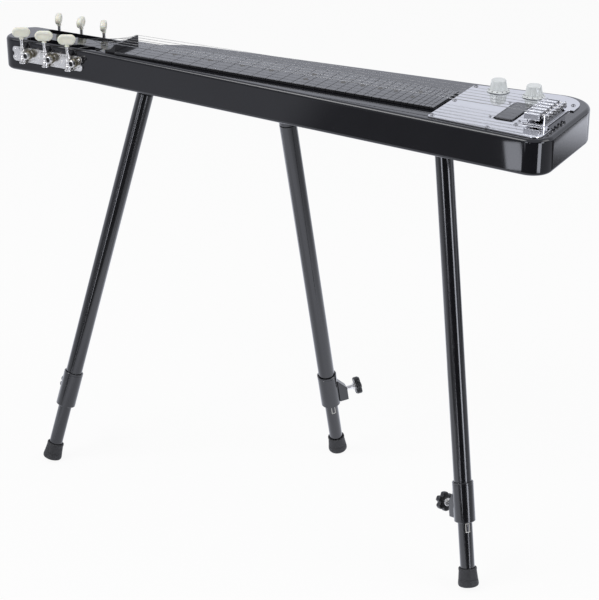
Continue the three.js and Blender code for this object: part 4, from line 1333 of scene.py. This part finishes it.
# %% String finishes
def make_string_finish(name, wound):
    finish = clouded(name, (12, 2), (0.3, 0.3, 0.31), (0.18, 0.18, 0.17), 0.2, 0.2,
                     None if wound else (0.4, 1, 0.08, 0.02), Metallic=1.0)
    if wound:
        turns = finish.place().part("X") * 19.6
        finish.relief(turns.math("SINE", turns), 0.12, 0.02)
    return finish


wound_steel = make_string_finish("wound_steel", True)
plain_steel = make_string_finish("plain_steel", False)

# %% Strings
NUT_TOP, ROLLER_RADIUS = 12, 5


def string_radius(i):
    return 0.455 * (0.38 / 0.91) ** (i / 5)


def make_string(tuner):
    i = tuner["string"] - 1
    radius = string_radius(i)
    steel = wound_steel if i < 3 else plain_steel
    post_x = tuner["worm"] + WORM_TO_POST
    line = bridge_line(i)
    points = [(post_x, tuner["wind"], POST_LEVEL + ROLLER_RADIUS + 0.3 + radius),
              (-1.5, (i - 2.5) * 10, NUT_TOP + 0.3 + radius),
              (SADDLE_FRONT + 2, line, SADDLE_TOP + 0.3 + radius),
              (WALL_START, line, HOLE_HEIGHT), (WALL_END + 1, line, HOLE_HEIGHT)]
    string = wire(f"string_wire_{i + 1}", points, radius, 3)
    ball = turned("ball", [(1.2, 0.3), (1.9, 0.8), (1.9, 1.2), (1.55, 1.5), (1.9, 1.8), (1.9, 2.3),
                           (1.2, 2.8), (0.6, 2.8), (0.6, 2.3)], 20)
    settle(ball, aim(Vector((WALL_END, line, HOLE_HEIGHT)) * MM, (1, 0, 0)))
    fuse(string, ball)
    settle(string)
    dress(string, steel, "guitar", "string_steel", f"string_{i + 1}", weighted=False)
    pitch, turns = 2 * radius + 0.08, 3.25
    winding = coil(f"string_turns_{i + 1}", lambda height: ROLLER_RADIUS + radius, 0,
                   turns * pitch, turns, radius, 16)
    place = aim(spot(post_x, tuner["wind"], POST_LEVEL), (0, tuner["side"], 0), (0, 0, 1))
    settle(winding, place)
    dress(winding, plain_steel, f"post_{tuner['number']}", "string_steel", weighted=False)


for tuner in TUNERS:
    make_string(tuner)
print("six strings and their turns")

# %% [markdown]
# A tuner turns its post through a worm and a wheel. The plate is nickelled sheet with two lobes
# at each end and a pair of bent tabs for each worm. The lobes come from a block with rounded
# corners and a round bite in the middle of each end.

# %% Tuner plates
PLATE_HEIGHT, PLATE_LENGTH, TUNER_PLATE_TOP, WORM_OUT = 20, 114, -9.5, 6.8


def make_tuner_plate(side, name, node):
    own = [tuner for tuner in TUNERS if tuner["side"] == side]
    end = own[0]["worm"] + 19
    start, bottom = end - PLATE_LENGTH, TUNER_PLATE_TOP - PLATE_HEIGHT
    plate = block(name, (start, 0.3, bottom), (end, 1.8, TUNER_PLATE_TOP))
    round_edges(plate, lambda c, n: abs(n.y) > 0.9, 4.9, 8)
    middle = (bottom + TUNER_PLATE_TOP) / 2
    bites = [settle(bore(3.4, -2, 5), aim(Vector((x, 0, middle)) * MM, (0, 1, 0)))
             for x in (start - 0.8, end + 0.8)]
    cut_away(plate, *bites)
    soften(plate, 0.3, 2, 60)
    tabs = []
    for tuner in own:
        for level in (TUNER_PLATE_TOP - 1.5, bottom):
            x = tuner["worm"]
            tab = block("tab", (x - 5, 0.5, level), (x + 5, 11.3, level + 1.5))
            round_edges(tab, lambda c, n: abs(n.z) > 0.9 and c.y > 8, 4, 6)
            tabs.append(soften(tab, 0.25, 2, 60))
    fuse(plate, *tabs)
    if side == NEAR:
        open_mesh(plate)
        bpy.ops.mesh.select_all(action="SELECT")
        bpy.ops.transform.resize(value=(1, -1, 1), center_override=(0, 0, 0))
        close_mesh(plate)
    settle(plate, Matrix.Translation(spot(0, face_of(side), 0)))
    dress(plate, nickel, "guitar", "nickel_plating", node)
    outer = face_of(side) + side * 1.8
    places = [(x, outer, z) for x in (start + 4.6, end - 4.6) for z in (-14, -25)]
    places += [(tuner["worm"] - 13.5, outer, -20.5) for tuner in own[:2]]
    set_screws(name + "_screws", places, nickel, 0.8, (0, side, 0))


make_tuner_plate(NEAR, "near_tuner_plate", "tuner_plate_near")
make_tuner_plate(FAR, "far_tuner_plate", "tuner_plate_far")
print("two tuner plates")

# %% [markdown]
# The wheel is a turned disc of brass. Every other face of its rim is inset and drawn outwards,
# which makes fourteen tapered teeth. A bright collar holds it on the post, with a screw deep in
# its bore that is coloured black as painted shade for the dark recess, and the post runs on as a
# roller across the slot.

# %% Wheels and posts
brass = clouded("dull_brass", (1.8, 4), (0.3, 0.27, 0.19), (0.1, 0.09, 0.07), 0.3, 0.3,
                (1.8, 4, 0.2, 0.1), Metallic=1.0)
TEETH = 14


def make_wheel():
    """The toothed wheel on the Z axis, where 0 is the side face of the head."""
    wheel = turned("wheel", [(4.4, 4.4), (4.9, 4.9), (4.9, 8.7), (4.4, 9.2)], 2 * TEETH)
    open_mesh(wheel)
    step = math.pi / TEETH
    pick("FACE", lambda c, n: abs(n.z) < 0.2 and round(
        math.atan2(c.y, c.x) / step - 0.5) % 2 == 0)
    bpy.ops.mesh.inset(use_individual=True, thickness=0.12 * MM, depth=1.05 * MM)
    return close_mesh(wheel)


def make_posts():
    wheel_pattern = make_wheel()
    # The screw in the post's bore is coloured black as painted shade for the recess.
    shade_hub_pattern = turned("shade_hub", [(3, 10), (3, 12.4), (2.4, 12.9)], 24)
    cut_away(shade_hub_pattern, block("bar", (-3, -0.4, 12.2), (3, 0.4, 14)))
    for tuner in TUNERS:
        number, side = tuner["number"], tuner["side"]
        place = aim(spot(tuner["worm"] + WORM_TO_POST, face_of(side), POST_LEVEL),
                    (0, side, 0), (1, 0, 0))
        wheel = settle(copied(wheel_pattern, f"gear_wheel_{number}"), place)
        dress(wheel, brass, f"post_{number}", "gear_brass", weighted=False)
        roller_end = -roller_length(side) - 6.7
        post = turned(f"post_roller_{number}",
                      [(4.4, roller_end), (5, roller_end + 0.6), (5, -0.6), (4.6, 0), (3, 0),
                       (3, 9.3), (4.4, 9.4), (4.7, 9.9), (4.7, 14.2), (4.3, 14.6), (3.4, 14.6),
                       (3.1, 14.2), (3.1, 10)], 40)
        settle(post, place)
        dress(post, nickel, f"post_{number}", "nickel_plating", f"string_post_{number}")
        # Black plastic on this screw is painted shade for the dark recess at the post's end.
        shade_hub = settle(copied(shade_hub_pattern, f"painted_shade_screw_{number}"), place)
        dress(shade_hub, black_plastic, f"post_{number}", "black_plastic", weighted=False)
    for pattern in (shade_hub_pattern, wheel_pattern):
        bpy.data.objects.remove(pattern)


make_posts()
print("six posts with wheels of", TEETH, "teeth")

# %% [markdown]
# The worm is waisted so that it hugs its wheel. Its thread is a coil whose radius follows the
# waist, wound on a thin core. Above the upper tab a collar holds it, and the stem runs up into
# the button.

# %% Worms
WHEEL_REACH = 6.3


def worm_waist(height):
    """Radius of the worm at a height, from the wheel's rim and a small gap."""
    off = min(abs(height - POST_LEVEL), WHEEL_REACH)
    return min(4.4, WORM_TO_POST - math.sqrt(WHEEL_REACH ** 2 - off ** 2))


def make_worm():
    low, high = TUNER_PLATE_TOP - PLATE_HEIGHT + 1.8, TUNER_PLATE_TOP - 1.8
    bottom = TUNER_PLATE_TOP - PLATE_HEIGHT - 1
    rings = [(1.7, bottom), (2.2, bottom + 0.4), (2.2, low)]
    rings += [(worm_waist(low + (high - low) * i / 8) - 0.9, low + (high - low) * i / 8)
              for i in range(9)]
    rings += [(2.2, high), (2.2, -9.2), (3.2, -9.2), (3.4, -9), (3.4, -7.4), (3.2, -7.2),
              (2.2, -7.2), (2.2, 11.2)]
    core = turned("worm", rings, 28)
    thread = coil("thread", lambda height: worm_waist(height) - 0.75, low + 0.9, high - 0.9,
                  6, 0.62, 16)
    return fuse(core, thread)


worm_pattern = make_worm()
for tuner in TUNERS:
    worm = copied(worm_pattern, f"worm_{tuner['number']}",
                  (tuner["worm"], face_of(tuner["side"]) + tuner["side"] * WORM_OUT, 0))
    settle(worm)
    dress(worm, nickel, f"tuner_{tuner['number']}", "nickel_plating",
          f"worm_shaft_{tuner['number']}")
bpy.data.objects.remove(worm_pattern)
print("six threaded worms")

# %% [markdown]
# The buttons are moulded cream plastic, a flat oval with softly dished faces and a short neck.
# A block gets wide round corners, its rims are rounded too, and both faces are inset and drawn
# in. The plastic has yellowed unevenly and is slightly waxy inside.

# %% Buttons
def make_button():
    """A button on the Z axis whose flat faces look along Y."""
    oval = block("button", (-12, -4, 6.2), (12, 4, 19.6))
    round_edges(oval, lambda c, n: abs(n.y) > 0.9, 6.2, 12, profile=0.45)
    round_edges(oval, lambda c, n: abs(abs(c.y) - 4) < 0.1 and abs(n.y) < 0.1, 3.1, 6)
    open_mesh(oval)
    pick("FACE", lambda c, n: abs(n.y) > 0.99 and abs(c.y) > 3.9)
    bpy.ops.mesh.inset(thickness=1.6 * MM, depth=-0.5 * MM)
    bpy.ops.mesh.inset(thickness=1.5 * MM, depth=-0.15 * MM)
    close_mesh(oval)
    neck = turned("neck", [(2.4, 3.4), (3, 3.6), (3.1, 4.2), (2.8, 5.8), (3, 8)], 32)
    return fuse(oval, neck)


cream_plastic = clouded("cream_plastic", (9, 4), (0.95, 0.95, 0.86), (0.89, 0.88, 0.74), 0.2,
                        0.14, (1.2, 2, 0.05, 0.05), Subsurface_Weight=0.25,
                        Subsurface_Radius=(0.004, 0.003, 0.002), Subsurface_Scale=0.4)
button_pattern = make_button()
for tuner in TUNERS:
    button = copied(button_pattern, f"button_{tuner['number']}")
    axis = (tuner["worm"], face_of(tuner["side"]) + tuner["side"] * WORM_OUT, 0)
    settle(button, Matrix.Translation(spot(*axis)) @ Matrix.Rotation(
        math.radians(tuner["turn"]), 4, "Z"))
    dress(button, cream_plastic, f"tuner_{tuner['number']}", "cream_plastic",
          f"tuner_button_{tuner['number']}")
bpy.data.objects.remove(button_pattern)
print("six buttons")

# %% [markdown]
# The two knobs are pale, slightly clear plastic: a tapered grip with shallow flutes over a wide
# skirt that is numbered round its edge. The grip is turned first, and every other pair of its
# side faces is drawn in for the flutes.

# %% Knobs
pale_plastic = clouded("pale_plastic", (6, 3), (0.91, 0.935, 0.93), (0.83, 0.87, 0.87), 0.16, 0.14,
                       (0.8, 2, 0.05, 0.05), IOR=1.46, Transmission_Weight=0.12,
                       Coat_Weight=0.3)
KNOB_BOTTOM = 2.3


def make_knob():
    """A knob on the Z axis with its skirt at Z 0."""
    knob = turned("knob", [(13.6, 0), (14, 0.3), (14, 0.9), (13.7, 1.2), (11.2, 2.0), (10.9, 2.4),
                           (9.1, 12.9), (8.8, 13.9), (8.2, 14.4), (6.6, 14.5), (6.2, 14.1),
                           (5.4, 13.9), (2, 13.9)], 96)
    open_mesh(knob)
    step = 2 * math.pi / 24
    pick("FACE", lambda c, n: 3 < c.z < 12.5 and abs(n.z) < 0.5 and abs(
        math.atan2(c.y, c.x) / step - round(math.atan2(c.y, c.x) / step)) < 0.2)
    bpy.ops.mesh.inset(thickness=0.25 * MM, depth=-0.35 * MM)
    return close_mesh(knob)


def make_numbers():
    """The numbers 1 to 10 round the skirt."""
    ink = Finish("dark_ink", (0.03, 0.03, 0.035), Roughness=0.5)
    fade = ink.noise(1)
    ink.feed("Base Color", ink.mixed(fade, (0.02, 0.02, 0.025), (0.06, 0.06, 0.07)))
    digits = []
    for value in range(1, 11):
        calm()
        bpy.ops.object.text_add()
        digit = bpy.context.object
        digit.data.body = str(value)
        digit.data.size = 3.2 * MM
        digit.data.align_x = digit.data.align_y = "CENTER"
        digit.data.extrude = 0.06 * MM
        digit.data.offset = 0.08 * MM
        hold(digit)
        bpy.ops.object.convert(target="MESH")
        angle = math.radians(-90 - (value - 5.5) * 30)
        way = Vector((math.cos(angle), math.sin(angle), 0))
        slope = Vector((way.x * 0.32, way.y * 0.32, 1)).normalized()
        side = Vector((-way.y, way.x, 0))
        digits.append(settle(named("digit"), aim(
            (way * 12.45 + Vector((0, 0, 1.68))) * MM, slope, side)))
    return gathered("number_pattern", digits), ink


knob_pattern = make_knob()
number_pattern, dark_ink = make_numbers()
for name, x in KNOBS.items():
    place = Matrix.Translation(spot(x, KNOB_LINE, KNOB_BOTTOM))
    knob = settle(copied(knob_pattern, f"{name}_knob_body"), place)
    dress(knob, pale_plastic, f"{name}_control", "pale_plastic", f"{name}_knob", angle=35)
    numbers = settle(copied(number_pattern, f"{name}_numbers"), place)
    dress(numbers, dark_ink, f"{name}_control", "pale_plastic", weighted=False)
for pattern in (knob_pattern, number_pattern):
    bpy.data.objects.remove(pattern)
print("two numbered knobs")

# %% [markdown]
# The potentiometers hang under the plate where nobody sees them, so their CAD solid stays and
# only gets the nickel. The jack in the far edge does show: a chromed disc with a hexagon nut and
# the bore for the plug.

# %% Potentiometers and jack
pots = frame["nodes"]["knob_pots"]
pots.data.materials.clear()
pots.data.materials.append(nickel.material)


def make_jack():
    jack = turned("jack_plate", [(6, -22), (6.5, -21.6), (6.5, 0.3), (14.6, 0.3), (15, 0.7),
                                 (15, 1.5), (14, 2.3), (7, 2.3), (3.8, 2.3), (3.4, 1.9),
                                 (3.4, -18)], 64)
    settle(jack, aim(spot(*JACK), JACK_OUT))
    return dress(jack, chrome, "guitar", "chrome_plating", "output_jack")


make_jack()
bpy.data.objects.remove(screw_pattern)
print("jack is in")
